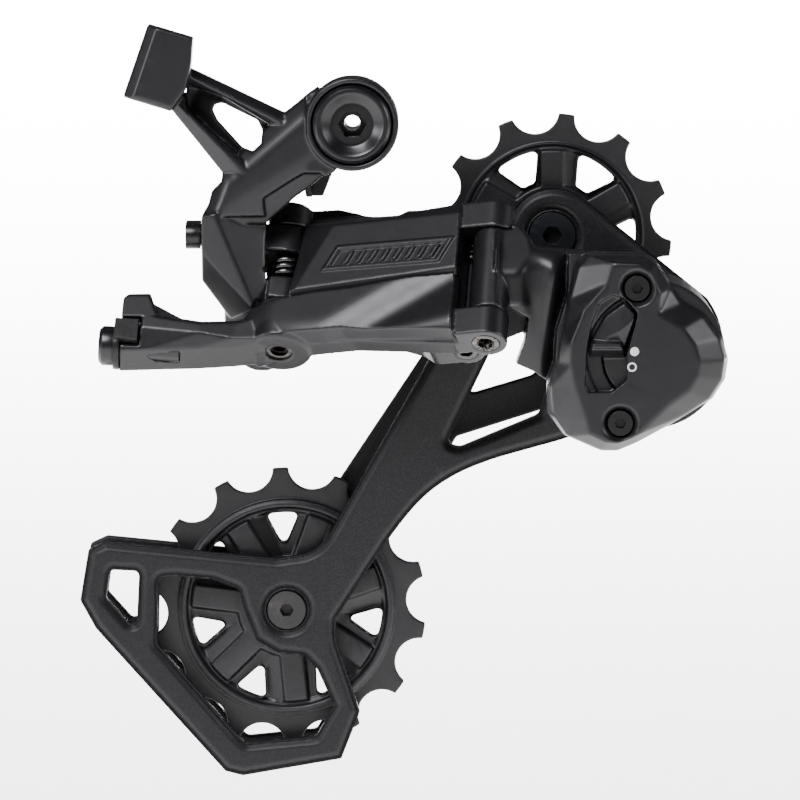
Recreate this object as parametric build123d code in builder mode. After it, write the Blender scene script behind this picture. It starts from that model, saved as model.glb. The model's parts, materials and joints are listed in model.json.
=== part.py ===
from build123d import *
from math import atan2, cos, degrees, hypot, pi, radians, sin
import os

os.makedirs("parts", exist_ok=True)

# Frame: the origin is on the mounting bolt's axis, at the outboard face of the bicycle's hanger.
# +X points forward along the bicycle, +Y inboard towards the wheel and +Z up. All sizes are in mm.

# ---------------------------------------------------------------- driving dimensions
CHAIN_PITCH = 12.7
UPPER_TEETH = 12
LOWER_TEETH = 14
UPPER_PULLEY = (40.7, -23.7)          # X, Z of the upper pulley's axis
LOWER_PULLEY = (-13.6, -100.6)        # X, Z of the lower pulley's axis
CAGE_PIVOT = (59.8, -45.6)            # X, Z of the cage pivot

PLATE_OUTER = (5.2, 8.6)              # Y faces of the outer cage plate
PLATE_INNER = (17.4, 20.4)            # Y faces of the inner cage plate
PULLEY_MID = 13.0                     # Y of the pulleys' middle plane

STUD_RADIUS = 5.0                     # M10 x 1 hanger thread
STUD_LENGTH = 9.0
JOURNAL_RADIUS = 6.0                  # the bolt's plain journal, inside the bushing
REGISTER_RADIUS = 5.6                 # the bolt's short step, inside the washer
BOSS_RADIUS = 9.4
BOSS_FACE = -16.2                     # Y of the B-knuckle boss's outboard face
BOSS_BACK = -1.5

SLANT = 38.0                          # how far the link pins lean inboard from vertical
LEAN = 5.0                            # how far they lean forward
OUTER_REAR = (-14.7, -17.0, -45.6)    # lower end of the rear outer link pin
LINK_LENGTH = 43.4
LINK_ANGLE = -15.9                    # rest angle of the links about the pin direction
FRONT_DROP = -3.1                     # the front pins' lower ends, along the pin direction
INNER_OFFSET = (-4.2, 9.5)            # inner pins from outer pins, across the pin direction
INNER_RISE = 3.8                      # the inner pins' lower ends, above the outer ones

PIN_RADIUS = 2.3
PIN_LIP = 2.7
RUNNING = 0.05                        # radial clearance of every turning fit
GAP = 0.3                             # air between pieces that move past each other

HOUSING_RADIUS = 15.0
HOUSING_INBOARD = 4.4                 # Y of the P-knuckle housing's inboard end
HOUSING_OUTBOARD = -24.0              # Y where the clutch cover seats
COVER_FACE = -31.0                    # Y of the clutch cover's flat face
AXLE_RADIUS = 4.5

# ---------------------------------------------------------------- planes and small helpers
pin_direction = Vector(
    sin(radians(LEAN)) * cos(radians(SLANT)),
    sin(radians(SLANT)),
    cos(radians(LEAN)) * cos(radians(SLANT)),
).normalized()
across_x = (Vector(1, 0, 0) - pin_direction * pin_direction.X).normalized()

# Link plane: x runs forward, y inboard and down, z along the pins, with its origin at the rear outer pin.
link_plane = Plane(origin=OUTER_REAR, x_dir=across_x, z_dir=pin_direction)


def pin_plane(x, y):
    """The link plane moved across to another pin."""
    return Plane(origin=link_plane.from_local_coords(Vector(x, y, 0)), x_dir=across_x, z_dir=pin_direction)


front_x = LINK_LENGTH * cos(radians(LINK_ANGLE))
front_y = LINK_LENGTH * sin(radians(LINK_ANGLE))
rear_outer = link_plane
front_outer = pin_plane(front_x, front_y)
rear_inner = pin_plane(*INNER_OFFSET)
front_inner = pin_plane(front_x + INNER_OFFSET[0], front_y + INNER_OFFSET[1])

# Blade planes stand on edge along a link: x along the link, y along the pins, and the normal outboard.
link_along = across_x.rotate(Axis((0, 0, 0), pin_direction), LINK_ANGLE)
link_outboard = link_along.cross(pin_direction)
outer_blade = Plane(origin=OUTER_REAR, x_dir=link_along, z_dir=link_outboard)
inner_blade = Plane(origin=rear_inner.origin, x_dir=link_along, z_dir=link_outboard)
# Square across the outer link: x up the pins, y outboard and the normal along the link.
blade_section = Plane(origin=OUTER_REAR, x_dir=pin_direction, z_dir=link_along)


def at_depth(depth):
    """Plane at Y = depth, drawn in X and Z, that faces outboard."""
    return Plane.XZ.offset(-depth)


def cross_axis(centre):
    """Plane whose normal runs inboard (+Y) through a centre given as X, Z."""
    return Plane(origin=(centre[0], 0, centre[1]), x_dir=(1, 0, 0), z_dir=(0, 1, 0))


def bar(plane, start, end, radius, mode=Mode.ADD):
    """Round bar along a plane's normal, from start to end."""
    with Locations(plane.offset(start)):
        Cylinder(radius, end - start, align=(Align.CENTER, Align.CENTER, Align.MIN), mode=mode)


def prism(plane, points, start, end, corner=0.0, mode=Mode.ADD):
    """Straight prism over a closed outline, from start to end along a plane's normal."""
    with BuildSketch(plane.offset(start)) as outline:
        with BuildLine():
            Polyline(*points, close=True)
        make_face()
        if corner > 0:
            fillet(outline.vertices(), corner)
    extrude(outline.sketch, amount=end - start, mode=mode)


def slab(points, outboard, inboard, corner=0.0, mode=Mode.ADD):
    """Prism over an outline in X and Z, between two depths."""
    prism(at_depth(inboard), points, 0, inboard - outboard, corner, mode)


def hex_socket(plane, start, depth, across_flats):
    """Hexagon socket cut along a plane's normal."""
    with BuildSketch(plane.offset(start)) as socket:
        RegularPolygon(across_flats / 2, 6, major_radius=False)
    extrude(socket.sketch, amount=depth, mode=Mode.SUBTRACT)


hanger_axis = cross_axis((0, 0))
cage_axis = cross_axis(CAGE_PIVOT)
upper_axis = cross_axis(UPPER_PULLEY)
lower_axis = cross_axis(LOWER_PULLEY)

# ================================================================ mounting bolt and washer
HEAD_FACE = -17.0
HEAD_RADIUS = 7.9
HEAD_THICKNESS = 2.1
WASHER_THICKNESS = 1.2

with BuildPart() as mounting_bolt:
    bar(hanger_axis, HEAD_FACE, HEAD_FACE + HEAD_THICKNESS, HEAD_RADIUS)
    chamfer(mounting_bolt.edges().group_by(Axis.Y)[0], 0.6)
    bar(hanger_axis, HEAD_FACE + HEAD_THICKNESS, -WASHER_THICKNESS, JOURNAL_RADIUS)
    bar(hanger_axis, -WASHER_THICKNESS, 0, REGISTER_RADIUS)
    bar(hanger_axis, 0, STUD_LENGTH, STUD_RADIUS)
    chamfer(mounting_bolt.edges().group_by(Axis.Y)[-1], 0.6)
    bar(hanger_axis, HEAD_FACE, HEAD_FACE + 2.0, 4.3, mode=Mode.SUBTRACT)
    hex_socket(hanger_axis, HEAD_FACE + 2.0, 5.0, 6.0)
    bar(hanger_axis, HEAD_FACE, STUD_LENGTH, 1.6, mode=Mode.SUBTRACT)
mounting_bolt.part.label = "mounting_bolt"
export_step(mounting_bolt.part, "parts/mounting_bolt.step")

# The washer's nose hangs down behind the boss, and the B-tension screw bears on its bent flange.
NOSE = [(-7.0, -4.2), (-2.6, -6.8), (-6.0, -15.2), (-9.4, -15.2), (-10.2, -10.8)]
NOSE_FLANGE = [(-10.2, -10.8), (-8.9, -10.8), (-8.1, -15.2), (-9.4, -15.2)]

with BuildPart() as mounting_washer:
    bar(hanger_axis, -WASHER_THICKNESS, 0, 8.6)
    slab(NOSE, -WASHER_THICKNESS, 0)
    slab(NOSE_FLANGE, -5.4, 0)
    bar(hanger_axis, -WASHER_THICKNESS, 0, REGISTER_RADIUS + RUNNING, mode=Mode.SUBTRACT)
mounting_washer.part.label = "mounting_washer"
export_step(mounting_washer.part, "parts/mounting_washer.step")

# ================================================================ B-knuckle
BUSHING_WALL = 1.0
BUSHING_OUTER = JOURNAL_RADIUS + RUNNING + BUSHING_WALL
HEAD_SEAT = HEAD_FACE + HEAD_THICKNESS + GAP

with BuildPart() as bolt_bushing:
    bar(hanger_axis, HEAD_SEAT, BOSS_BACK, BUSHING_OUTER)
    bar(hanger_axis, HEAD_SEAT, BOSS_BACK, JOURNAL_RADIUS + RUNNING, mode=Mode.SUBTRACT)
bolt_bushing.part.label = "bolt_bushing"
export_step(bolt_bushing.part, "parts/bolt_bushing.step")

# Lug bands along the pins, measured up from the rear outer pin's lower end.
REAR_LOWER_LUG = (10.3, 15.5)
REAR_UPPER_LUG = (21.8, 28.0)
REAR_INNER_LUG = (8.6, 15.5)
LUG_RADIUS = 4.4
BLOCK_EDGE = -5.3                     # the block's front face, behind the rear outer pin

STOP_BOX = [(-40.5, 20.4), (-31.8, 17.6), (-33.0, 11.0), (-36.3, 2.8), (-45.6, 5.6)]
UPPER_ARM = [(-34.0, 12.0), (-32.3, 11.4), (-12.6, 2.2), (-7.5, 7.0), (-8.0, -3.0), (-17.0, -1.6), (-34.0, 6.5)]
LOWER_ARM = [(-40.0, 5.5), (-33.0, 7.0), (-18.0, -6.0), (-22.0, -12.0), (-26.2, -9.9), (-36.2, 2.6)]
NECK = [(-7.0, 7.2), (-19.0, -1.6), (-26.2, -9.9), (-26.4, -11.8), (-28.4, -13.8), (-29.1, -16.6),
        (-30.4, -18.8), (-17.6, -18.6), (-9.3, -12.2), (-3.4, -9.6), (0, 0)]
BLOCK = [(-29.1, -16.6), (-30.4, -18.8), (-30.4, -31.8), (-24.0, -39.6), (-17.4, -36.0), (-17.4, -17.0)]
ARM_WEB = [(-34.0, 8.0), (-18.0, 0.0), (-8.0, 4.0), (-10.0, -8.0), (-22.0, -10.0), (-34.0, 4.0)]
ARM_WINDOW = [(-28.0, 3.2), (-26.0, 4.2), (-19.0, -0.4), (-18.0, -2.6), (-20.2, -5.6), (-22.0, -5.6)]
STOP_TILT = 18.0                      # the cable stop's lean from vertical
STOP_TOP = (-36.1, -13.6, 19.0)       # where the cable housing enters the stop
STOP_BORE = 2.6
FERRULE_DEPTH = 11.0

stop_plane = Plane(
    origin=STOP_TOP,
    x_dir=(cos(radians(STOP_TILT)), 0, -sin(radians(STOP_TILT))),
    z_dir=(-sin(radians(STOP_TILT)), 0, -cos(radians(STOP_TILT))),
)
LINK_FACE = 5.9                       # the outer link's face, outboard of its pin line
swing_slope = sin(radians(LINK_ANGLE)) / cos(radians(LINK_ANGLE))
swing_edge = -(LINK_FACE + 0.8) / cos(radians(LINK_ANGLE))
SWING_ROOM = [
    (BLOCK_EDGE, swing_edge + swing_slope * BLOCK_EDGE),
    (60, swing_edge + swing_slope * 60),
    (60, 60),
    (BLOCK_EDGE, 60),
]

LIMIT_SCREW_HEIGHT = -22.8
LIMIT_SCREW_DEPTHS = (-8.2, -2.2)
LIMIT_SCREW_RADIUS = 2.0
B_SCREW_AT = (-3.4, -13.2)            # Y, Z of the B-tension screw
B_SCREW_RADIUS = 1.5

with BuildPart() as b_knuckle:
    bar(hanger_axis, BOSS_FACE, BOSS_BACK, BOSS_RADIUS)
    slab(NECK, -13.6, -5.8, 0.6)
    slab(BLOCK, -13.0, 2.6, 0.6)
    slab(UPPER_ARM, -12.4, -6.6, 0.5)
    slab(LOWER_ARM, -13.4, -6.6, 0.5)
    slab(ARM_WEB, -10.6, -7.8)
    slab(ARM_WINDOW, -20, 0, 0.8, mode=Mode.SUBTRACT)
    slab(STOP_BOX, -18.2, -9.0, 0.6)
    bar(link_plane, -20, REAR_LOWER_LUG[0], 60, mode=Mode.SUBTRACT)
    prism(link_plane, SWING_ROOM, -5, 34.4, mode=Mode.SUBTRACT)
    bar(rear_inner, REAR_INNER_LUG[1], 60, LUG_RADIUS + GAP, mode=Mode.SUBTRACT)
    for low, high in (REAR_LOWER_LUG, REAR_UPPER_LUG):
        bar(rear_outer, low, high, LUG_RADIUS)
        prism(link_plane, [(-12, -4.4), (0, -4.4), (0, 4.4), (-12, 6.4)], low, high)
    bar(rear_inner, *REAR_INNER_LUG, 4.0)
    prism(link_plane, [(-12, -2), (-6, -2), (-4.2, 5.5), (-4.2, 13.5), (-8, 13), (-12, 9)], *REAR_LOWER_LUG)
    prism(rear_inner, [(-7.8, -6), (-1.6, -3.6), (0, -3.6), (0, 4), (-4, 3.6), (-7.8, 0)], *REAR_LOWER_LUG)
    with Locations((-17.0, B_SCREW_AT[0], B_SCREW_AT[1])):
        Box(8.0, 5.0, 5.0)
    bar(hanger_axis, BOSS_FACE - 1, HEAD_SEAT, HEAD_RADIUS + GAP, mode=Mode.SUBTRACT)
    bar(hanger_axis, BOSS_FACE - 1, BOSS_BACK + 1, BUSHING_OUTER, mode=Mode.SUBTRACT)
    bar(rear_outer, -1, 35, PIN_RADIUS + RUNNING, mode=Mode.SUBTRACT)
    bar(rear_inner, -1, 35, PIN_RADIUS + RUNNING, mode=Mode.SUBTRACT)
    bar(stop_plane, -3, FERRULE_DEPTH, STOP_BORE, mode=Mode.SUBTRACT)
    bar(stop_plane, 0, 22, 1.2, mode=Mode.SUBTRACT)
    for depth in LIMIT_SCREW_DEPTHS:
        bar(Plane(origin=(-31, depth, LIMIT_SCREW_HEIGHT), z_dir=(1, 0, 0)), -1, 11,
            LIMIT_SCREW_RADIUS + RUNNING, mode=Mode.SUBTRACT)
    bar(Plane(origin=(-24, *B_SCREW_AT), z_dir=(1, 0, 0)), 0, 14, B_SCREW_RADIUS + RUNNING, mode=Mode.SUBTRACT)
    bar(Plane(origin=(-24, *B_SCREW_AT), z_dir=(1, 0, 0)), -2, 3, 2.6, mode=Mode.SUBTRACT)
b_knuckle.part.label = "b_knuckle"
export_step(b_knuckle.part, "parts/b_knuckle.step")


def set_screw(tail, length, radius, head_radius, head_length, key):
    """Screw along +X: its head starts at the tail point, and a hexagon socket is cut in it."""
    axis = Plane(origin=tail, z_dir=(1, 0, 0))
    bar(axis, 0, head_length, head_radius)
    bar(axis, head_length, length, radius)
    hex_socket(axis, 0, head_length * 0.8, key)


with BuildPart() as high_limit_screw:
    set_screw((-33.7, LIMIT_SCREW_DEPTHS[0], LIMIT_SCREW_HEIGHT), 13.0, LIMIT_SCREW_RADIUS, 2.7, 3.0, 2.5)
high_limit_screw.part.label = "high_limit_screw"
export_step(high_limit_screw.part, "parts/high_limit_screw.step")

with BuildPart() as low_limit_screw:
    set_screw((-33.7, LIMIT_SCREW_DEPTHS[1], LIMIT_SCREW_HEIGHT), 13.0, LIMIT_SCREW_RADIUS, 2.7, 3.0, 2.5)
low_limit_screw.part.label = "low_limit_screw"
export_step(low_limit_screw.part, "parts/low_limit_screw.step")

with BuildPart() as b_tension_screw:
    set_screw((-23.6, *B_SCREW_AT), 13.1, B_SCREW_RADIUS, 2.3, 2.4, 2.5)
b_tension_screw.part.label = "b_tension_screw"
export_step(b_tension_screw.part, "parts/b_tension_screw.step")

# ================================================================ outer link
REAR_LOWER_EAR = (0.0, REAR_LOWER_LUG[0] - GAP)
REAR_UPPER_EAR = (REAR_UPPER_LUG[1] + GAP, 33.6)
FRONT_LOWER_EAR = (FRONT_DROP, 3.3)
FRONT_BOSS = (FRONT_LOWER_EAR[1] + GAP, 22.5)
FRONT_UPPER_EAR = (FRONT_BOSS[1] + GAP, 28.8)
EAR_RADIUS = 4.3
LINK_INBOARD = 2.8

# Drawn in the blade plane: along the link, and up along the pins.
LINK_WEB = [(5.2, REAR_UPPER_EAR[1]), (5.2, REAR_LOWER_EAR[1]), (-0.5, REAR_LOWER_EAR[1]), (-0.5, 0), (16, 0),
            (37.6, FRONT_DROP), (37.6, 28.8), (31, 27.0), (20, 28.2), (14.5, 31.8), (10, REAR_UPPER_EAR[1] - 0.2)]
TOP_SLOPE = [(26.5, 5.4), (31.2, 0.4), (36.0, 0.4), (36.0, 8.0), (26.5, 8.0)]   # up the pins, and outboard
LINK_SWELL = [(-3.8, 6.4), (2.7, 9.4), (14.2, 11), (36.6, 12.4), (36.6, -2.2), (17.5, 0.6), (4, 0.8), (-4, 3)]
ARM_PROFILE = [(0, 0.2), (-5.0, -1.6), (-16, -2.9), (-30.0, -4.6), (-32.0, -4.6), (-32.0, 8.2), (-31.2, 9.0),
               (-26.4, 9.4), (-23.6, 4.6), (-16.2, 3.6), (-11, 4.2), (-5.7, 6.2), (0, REAR_LOWER_EAR[1])]
ARM_SIDES = (5.0, 4.4)                # the arm's outboard and inboard faces, from the pin's axis
ANCHOR_AT = (-1.0, 0.0)               # the anchor bolt, along the pins and across them

arm_plane = Plane(origin=OUTER_REAR, x_dir=across_x, z_dir=across_x.cross(pin_direction))
anchor_axis = Plane(
    origin=link_plane.from_local_coords(Vector(-32.0, ANCHOR_AT[1], ANCHOR_AT[0])),
    x_dir=pin_direction,
    z_dir=across_x * -1,
)

with BuildPart() as outer_link:
    prism(outer_blade, LINK_WEB, -LINK_INBOARD, 5.2)
    prism(outer_blade, LINK_SWELL, 5.0, 6.8)
    prism(arm_plane, ARM_PROFILE, -ARM_SIDES[1], ARM_SIDES[0])
    bar(rear_outer, *REAR_LOWER_EAR, 6.0)
    bar(rear_outer, *REAR_UPPER_EAR, 4.6)
    prism(outer_blade, [(0, REAR_UPPER_EAR[0]), (6, REAR_UPPER_EAR[0]), (6, REAR_UPPER_EAR[1]),
                        (0, REAR_UPPER_EAR[1])], -LINK_INBOARD, 4.6)
    for low, high in (FRONT_LOWER_EAR, FRONT_UPPER_EAR):
        bar(front_outer, low, high, EAR_RADIUS)
        prism(outer_blade, [(37, low), (LINK_LENGTH, low), (LINK_LENGTH, high), (37, high)], -LINK_INBOARD, EAR_RADIUS)
    prism(outer_blade, [(14, FRONT_DROP), (30, FRONT_DROP), (30, -8), (14, -8)], -10, 10, mode=Mode.SUBTRACT)
    prism(blade_section, TOP_SLOPE, 4.5, 24.0, mode=Mode.SUBTRACT)
    bar(rear_outer, -10, 40, PIN_RADIUS, mode=Mode.SUBTRACT)
    bar(rear_outer, -10, 0.8, PIN_LIP, mode=Mode.SUBTRACT)
    bar(front_outer, -10, 40, PIN_RADIUS, mode=Mode.SUBTRACT)
    bar(front_outer, -10, FRONT_DROP + 0.8, PIN_LIP, mode=Mode.SUBTRACT)
    bar(anchor_axis, -12, 0.5, 2.5, mode=Mode.SUBTRACT)
    prism(arm_plane, [(-33, -2.6), (-28, -2.6), (-28, 3.4), (-33, 3.4)], 2.8, 6, mode=Mode.SUBTRACT)
outer_link.part.label = "outer_link"
export_step(outer_link.part, "parts/outer_link.step")

with BuildPart() as cable_anchor_washer:
    bar(anchor_axis, 0, 1.2, 4.7)
    prism(arm_plane, [(-33.2, -2.0), (-28.4, -2.0), (-28.4, 2.8), (-33.2, 2.8)], 3.1, 4.7)
    bar(anchor_axis, 0, 1.2, 2.55, mode=Mode.SUBTRACT)
cable_anchor_washer.part.label = "cable_anchor_washer"
export_step(cable_anchor_washer.part, "parts/cable_anchor_washer.step")

with BuildPart() as cable_anchor_bolt:
    bar(anchor_axis, 1.2, 4.2, 4.0)
    chamfer(cable_anchor_bolt.edges().group_by(Axis.X)[0], 0.7)
    bar(anchor_axis, -12, 1.2, 2.5)
    hex_socket(anchor_axis, 1.8, 2.5, 4.0)
cable_anchor_bolt.part.label = "cable_anchor_bolt"
export_step(cable_anchor_bolt.part, "parts/cable_anchor_bolt.step")

# ================================================================ inner link
INNER_EAR = 4.0
INNER_REAR_LOWER = (INNER_RISE, REAR_INNER_LUG[0] - GAP)
INNER_REAR_UPPER = (REAR_INNER_LUG[1] + GAP, 20.6)
INNER_FRONT_DROP = FRONT_DROP + INNER_RISE
FRONT_INNER_LUG = (5.4, 20.0)
INNER_FRONT_LOWER = (INNER_FRONT_DROP, FRONT_INNER_LUG[0] - GAP)
INNER_FRONT_UPPER = (27.0, 31.4)
# Drawn in the blade plane, which starts at the rear inner pin.
INNER_WEB = [(5.4, INNER_REAR_UPPER[1]), (5.4, INNER_REAR_LOWER[0]), (37.6, INNER_FRONT_DROP),
             (37.6, INNER_FRONT_UPPER[1]), (30, 26)]

with BuildPart() as inner_link:
    prism(inner_blade, INNER_WEB, -3.5, 1.5)
    for plane, bands, start, end in (
        (rear_inner, (INNER_REAR_LOWER, INNER_REAR_UPPER), 0, 6),
        (front_inner, (INNER_FRONT_LOWER, INNER_FRONT_UPPER), 37, LINK_LENGTH),
    ):
        for low, high in bands:
            bar(plane, low, high, INNER_EAR)
            prism(inner_blade, [(start, low), (end, low), (end, high), (start, high)], -3.5, 1.5)
    bar(rear_inner, -5, 40, PIN_RADIUS, mode=Mode.SUBTRACT)
    bar(front_inner, -5, 40, PIN_RADIUS, mode=Mode.SUBTRACT)
inner_link.part.label = "inner_link"
export_step(inner_link.part, "parts/inner_link.step")


# ================================================================ link pins and return springs
def link_pin(plane, low, high):
    """Tubular pin with a rolled lip at its lower end."""
    bar(plane, low, high, PIN_RADIUS)
    bar(plane, low, low + 0.8, PIN_LIP)
    bar(plane, low - 1, low + 4, 1.4, mode=Mode.SUBTRACT)


with BuildPart() as outer_pin_rear:
    link_pin(rear_outer, 0, REAR_UPPER_EAR[1])
outer_pin_rear.part.label = "outer_pin_rear"
export_step(outer_pin_rear.part, "parts/outer_pin_rear.step")

with BuildPart() as outer_pin_front:
    link_pin(front_outer, FRONT_DROP, FRONT_UPPER_EAR[1])
outer_pin_front.part.label = "outer_pin_front"
export_step(outer_pin_front.part, "parts/outer_pin_front.step")

with BuildPart() as inner_pin_rear:
    bar(rear_inner, INNER_REAR_LOWER[0], INNER_REAR_UPPER[1], PIN_RADIUS)
inner_pin_rear.part.label = "inner_pin_rear"
export_step(inner_pin_rear.part, "parts/inner_pin_rear.step")

with BuildPart() as inner_pin_front:
    bar(front_inner, INNER_FRONT_LOWER[0], INNER_FRONT_UPPER[1], PIN_RADIUS)
inner_pin_front.part.label = "inner_pin_front"
export_step(inner_pin_front.part, "parts/inner_pin_front.step")


def torsion_spring(plane, low, radius, wire, turns, pitch, leg):
    """Coil around a plane's normal that ends in one straight tangent leg."""
    with BuildLine() as coil:
        turn = Helix(pitch, pitch * turns, radius, center=plane.offset(low).origin, direction=plane.z_dir)
        Line(turn @ 1, (turn @ 1) + (turn % 1) * leg)
    with BuildSketch(Plane(origin=coil.line @ 0, z_dir=coil.line % 0)) as section:
        Circle(wire)
    sweep(section.sketch, path=coil.line)


SPRING_WIRE = 0.6

with BuildPart() as return_spring_rear:
    torsion_spring(rear_outer, REAR_LOWER_LUG[1] + 1.0, 3.4, SPRING_WIRE, 2.9, 1.45, 4.0)
return_spring_rear.part.label = "return_spring_rear"
export_step(return_spring_rear.part, "parts/return_spring_rear.step")

with BuildPart() as return_spring_front:
    torsion_spring(front_inner, FRONT_INNER_LUG[1] + 0.9, 3.4, SPRING_WIRE, 2.9, 1.45, 4.0)
return_spring_front.part.label = "return_spring_front"
export_step(return_spring_front.part, "parts/return_spring_front.step")

# ================================================================ P-knuckle
P_BOSS_RADIUS = 3.9
P_ARM = [(29.0, -21.0), (34.4, -21.1), (36.8, -24.8), (47, -25.6), (50, -40), (47, -52), (40.0, -52.0),
         (36.5, -49.5), (33.0, -48.0), (35.0, -43.6), (35.6, -38.4), (31.4, -35.8), (28.0, -34.8)]
COVER_BACK = [(46.4, -25.2), (58.4, -25.4), (60.8, -26.8), (64.0, -31.8), (66.6, -35.0), (70.8, -37.4),
              (74.2, -42.0), (75.4, -46.6), (74.8, -50.6), (72.2, -54.6), (67.0, -58.0), (57.0, -63.4),
              (53.2, -65.0), (49.8, -65.0), (42.4, -61.8), (39.2, -57.4), (39.0, -52.0), (40.8, -47.0),
              (42.0, -41.0), (43.0, -34.0), (44.2, -27.4)]
COVER_FRONT = [(52.4, -26.8), (57.6, -27.0), (59.4, -28.6), (61.6, -33.0), (61.2, -36.9), (66.1, -39.8),
               (68.4, -43.0), (69.4, -46.6), (69.0, -49.7), (67.3, -52.5), (63.3, -55.3), (57.4, -61.0),
               (53.0, -62.8), (50.8, -62.6), (47.4, -61.0), (46.8, -58.4), (44.6, -51.8), (43.7, -47.2),
               (43.7, -42.8), (46.4, -36.2), (51.2, -30.8)]
COVER_SHOULDER = -27.2                # Y where the cover's wall turns in towards its face
SHOULDER_INSET = 0.15
COVER_SCREWS = [(56.9, -31.9), (53.6, -58.9)]
COVER_SCREW_RADIUS = 1.5
COVER_SCREW_HEAD = 2.5
FLANGE_BACK = -18.5
CLUTCH_FLOOR = -12.0
SPRING_FLOOR = -9.5
CLUTCH_CHAMBER = 11.5
SPRING_CHAMBER = 12.0
HUB_END = 2.5
AXLE_BUSHING = 5.5
STOP_LUG = [(46.0, -44.0), (39.8, -45.0), (39.8, -50.2), (46.0, -50.2)]
STOP_PIN = (42.9, -52.1)
STOP_PIN_RADIUS = 1.6
SEAL_RADII = (12.7, 14.3)
SEAL_DEPTHS = (4.0, 4.9)

with BuildPart() as p_knuckle:
    slab(P_ARM, -24.0, -9.0, 0.5)
    for plane, reach, bands in (
        (front_outer, EAR_RADIUS + 0.5, ((-6, FRONT_BOSS[0]), (FRONT_BOSS[1], 40))),
        (front_inner, INNER_EAR + 0.5, ((-6, FRONT_INNER_LUG[0]), (FRONT_INNER_LUG[1], 40))),
    ):
        for low, high in bands:
            bar(plane, low, high, reach, mode=Mode.SUBTRACT)
    bar(front_outer, *FRONT_BOSS, P_BOSS_RADIUS)
    prism(front_outer, [(0, -3.9), (8, -3.9), (8, 4.5), (0, 4.5)], *FRONT_BOSS)
    bar(front_inner, *FRONT_INNER_LUG, 4.0)
    prism(front_outer, [(-4.2, 5.5), (4, 2), (12, 4), (12, 10), (4, 12), (-4.2, 13.4)], *FRONT_INNER_LUG)
    bar(cage_axis, HOUSING_OUTBOARD, HOUSING_INBOARD, HOUSING_RADIUS)
    slab(COVER_BACK, HOUSING_OUTBOARD, FLANGE_BACK, 0.8)
    slab(STOP_LUG, 0, HOUSING_INBOARD)
    bar(cage_axis, HOUSING_OUTBOARD - 1, CLUTCH_FLOOR, CLUTCH_CHAMBER, mode=Mode.SUBTRACT)
    bar(cage_axis, SPRING_FLOOR, HOUSING_INBOARD + 1, SPRING_CHAMBER, mode=Mode.SUBTRACT)
    bar(cage_axis, SPRING_FLOOR, HUB_END, 6.8)
    bar(cage_axis, CLUTCH_FLOOR - 1, HUB_END + 1, AXLE_BUSHING, mode=Mode.SUBTRACT)
    bar(cage_axis, SEAL_DEPTHS[0], HOUSING_INBOARD + 1, SEAL_RADII[1], mode=Mode.SUBTRACT)
    bar(front_outer, -10, 40, PIN_RADIUS + RUNNING, mode=Mode.SUBTRACT)
    bar(front_inner, -10, 40, PIN_RADIUS + RUNNING, mode=Mode.SUBTRACT)
    for screw in COVER_SCREWS:
        bar(cross_axis(screw), HOUSING_OUTBOARD - 1, FLANGE_BACK, COVER_SCREW_RADIUS, mode=Mode.SUBTRACT)
p_knuckle.part.label = "p_knuckle"
export_step(p_knuckle.part, "parts/p_knuckle.step")

with BuildPart() as axle_bushing:
    bar(cage_axis, CLUTCH_FLOOR, HUB_END, AXLE_BUSHING)
    bar(cage_axis, CLUTCH_FLOOR, HUB_END, AXLE_RADIUS + RUNNING, mode=Mode.SUBTRACT)
axle_bushing.part.label = "axle_bushing"
export_step(axle_bushing.part, "parts/axle_bushing.step")

with BuildPart() as dust_seal:
    bar(cage_axis, *SEAL_DEPTHS, SEAL_RADII[1])
    bar(cage_axis, *SEAL_DEPTHS, SEAL_RADII[0], mode=Mode.SUBTRACT)
dust_seal.part.label = "dust_seal"
export_step(dust_seal.part, "parts/dust_seal.step")

# ================================================================ clutch cover and lever
LEVER_CAVITY = 11.0
CAVITY_ROOF = -28.4
LEVER_DISC = (-28.0, -24.6)
SHIELD_TOP = -30.4
WINDOW_RADII = (5.6, 13.1)
WINDOW_ANGLES = (122.0, 206.0)
SHIELD_RADII = (6.0, 12.7)
SHIELD_ANGLES = (128.0, 171.0)
HANDLE_ANGLES = (157.0, 171.0)
PIVOT_STUB = 2.5


def sector(radii, angles, outboard, inboard, mode=Mode.ADD):
    """Annular sector about the cage pivot, with angles measured from +X towards +Z."""
    middle = (angles[0] + angles[1]) / 2

    def at(radius, angle):
        return (CAGE_PIVOT[0] + radius * cos(radians(angle)), CAGE_PIVOT[1] + radius * sin(radians(angle)))

    with BuildSketch(at_depth(inboard)) as outline:
        with BuildLine():
            outer = ThreePointArc(at(radii[1], angles[0]), at(radii[1], middle), at(radii[1], angles[1]))
            inner = ThreePointArc(at(radii[0], angles[0]), at(radii[0], middle), at(radii[0], angles[1]))
            Line(outer @ 0, inner @ 0)
            Line(outer @ 1, inner @ 1)
        make_face()
    extrude(outline.sketch, amount=inboard - outboard, mode=mode)


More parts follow.
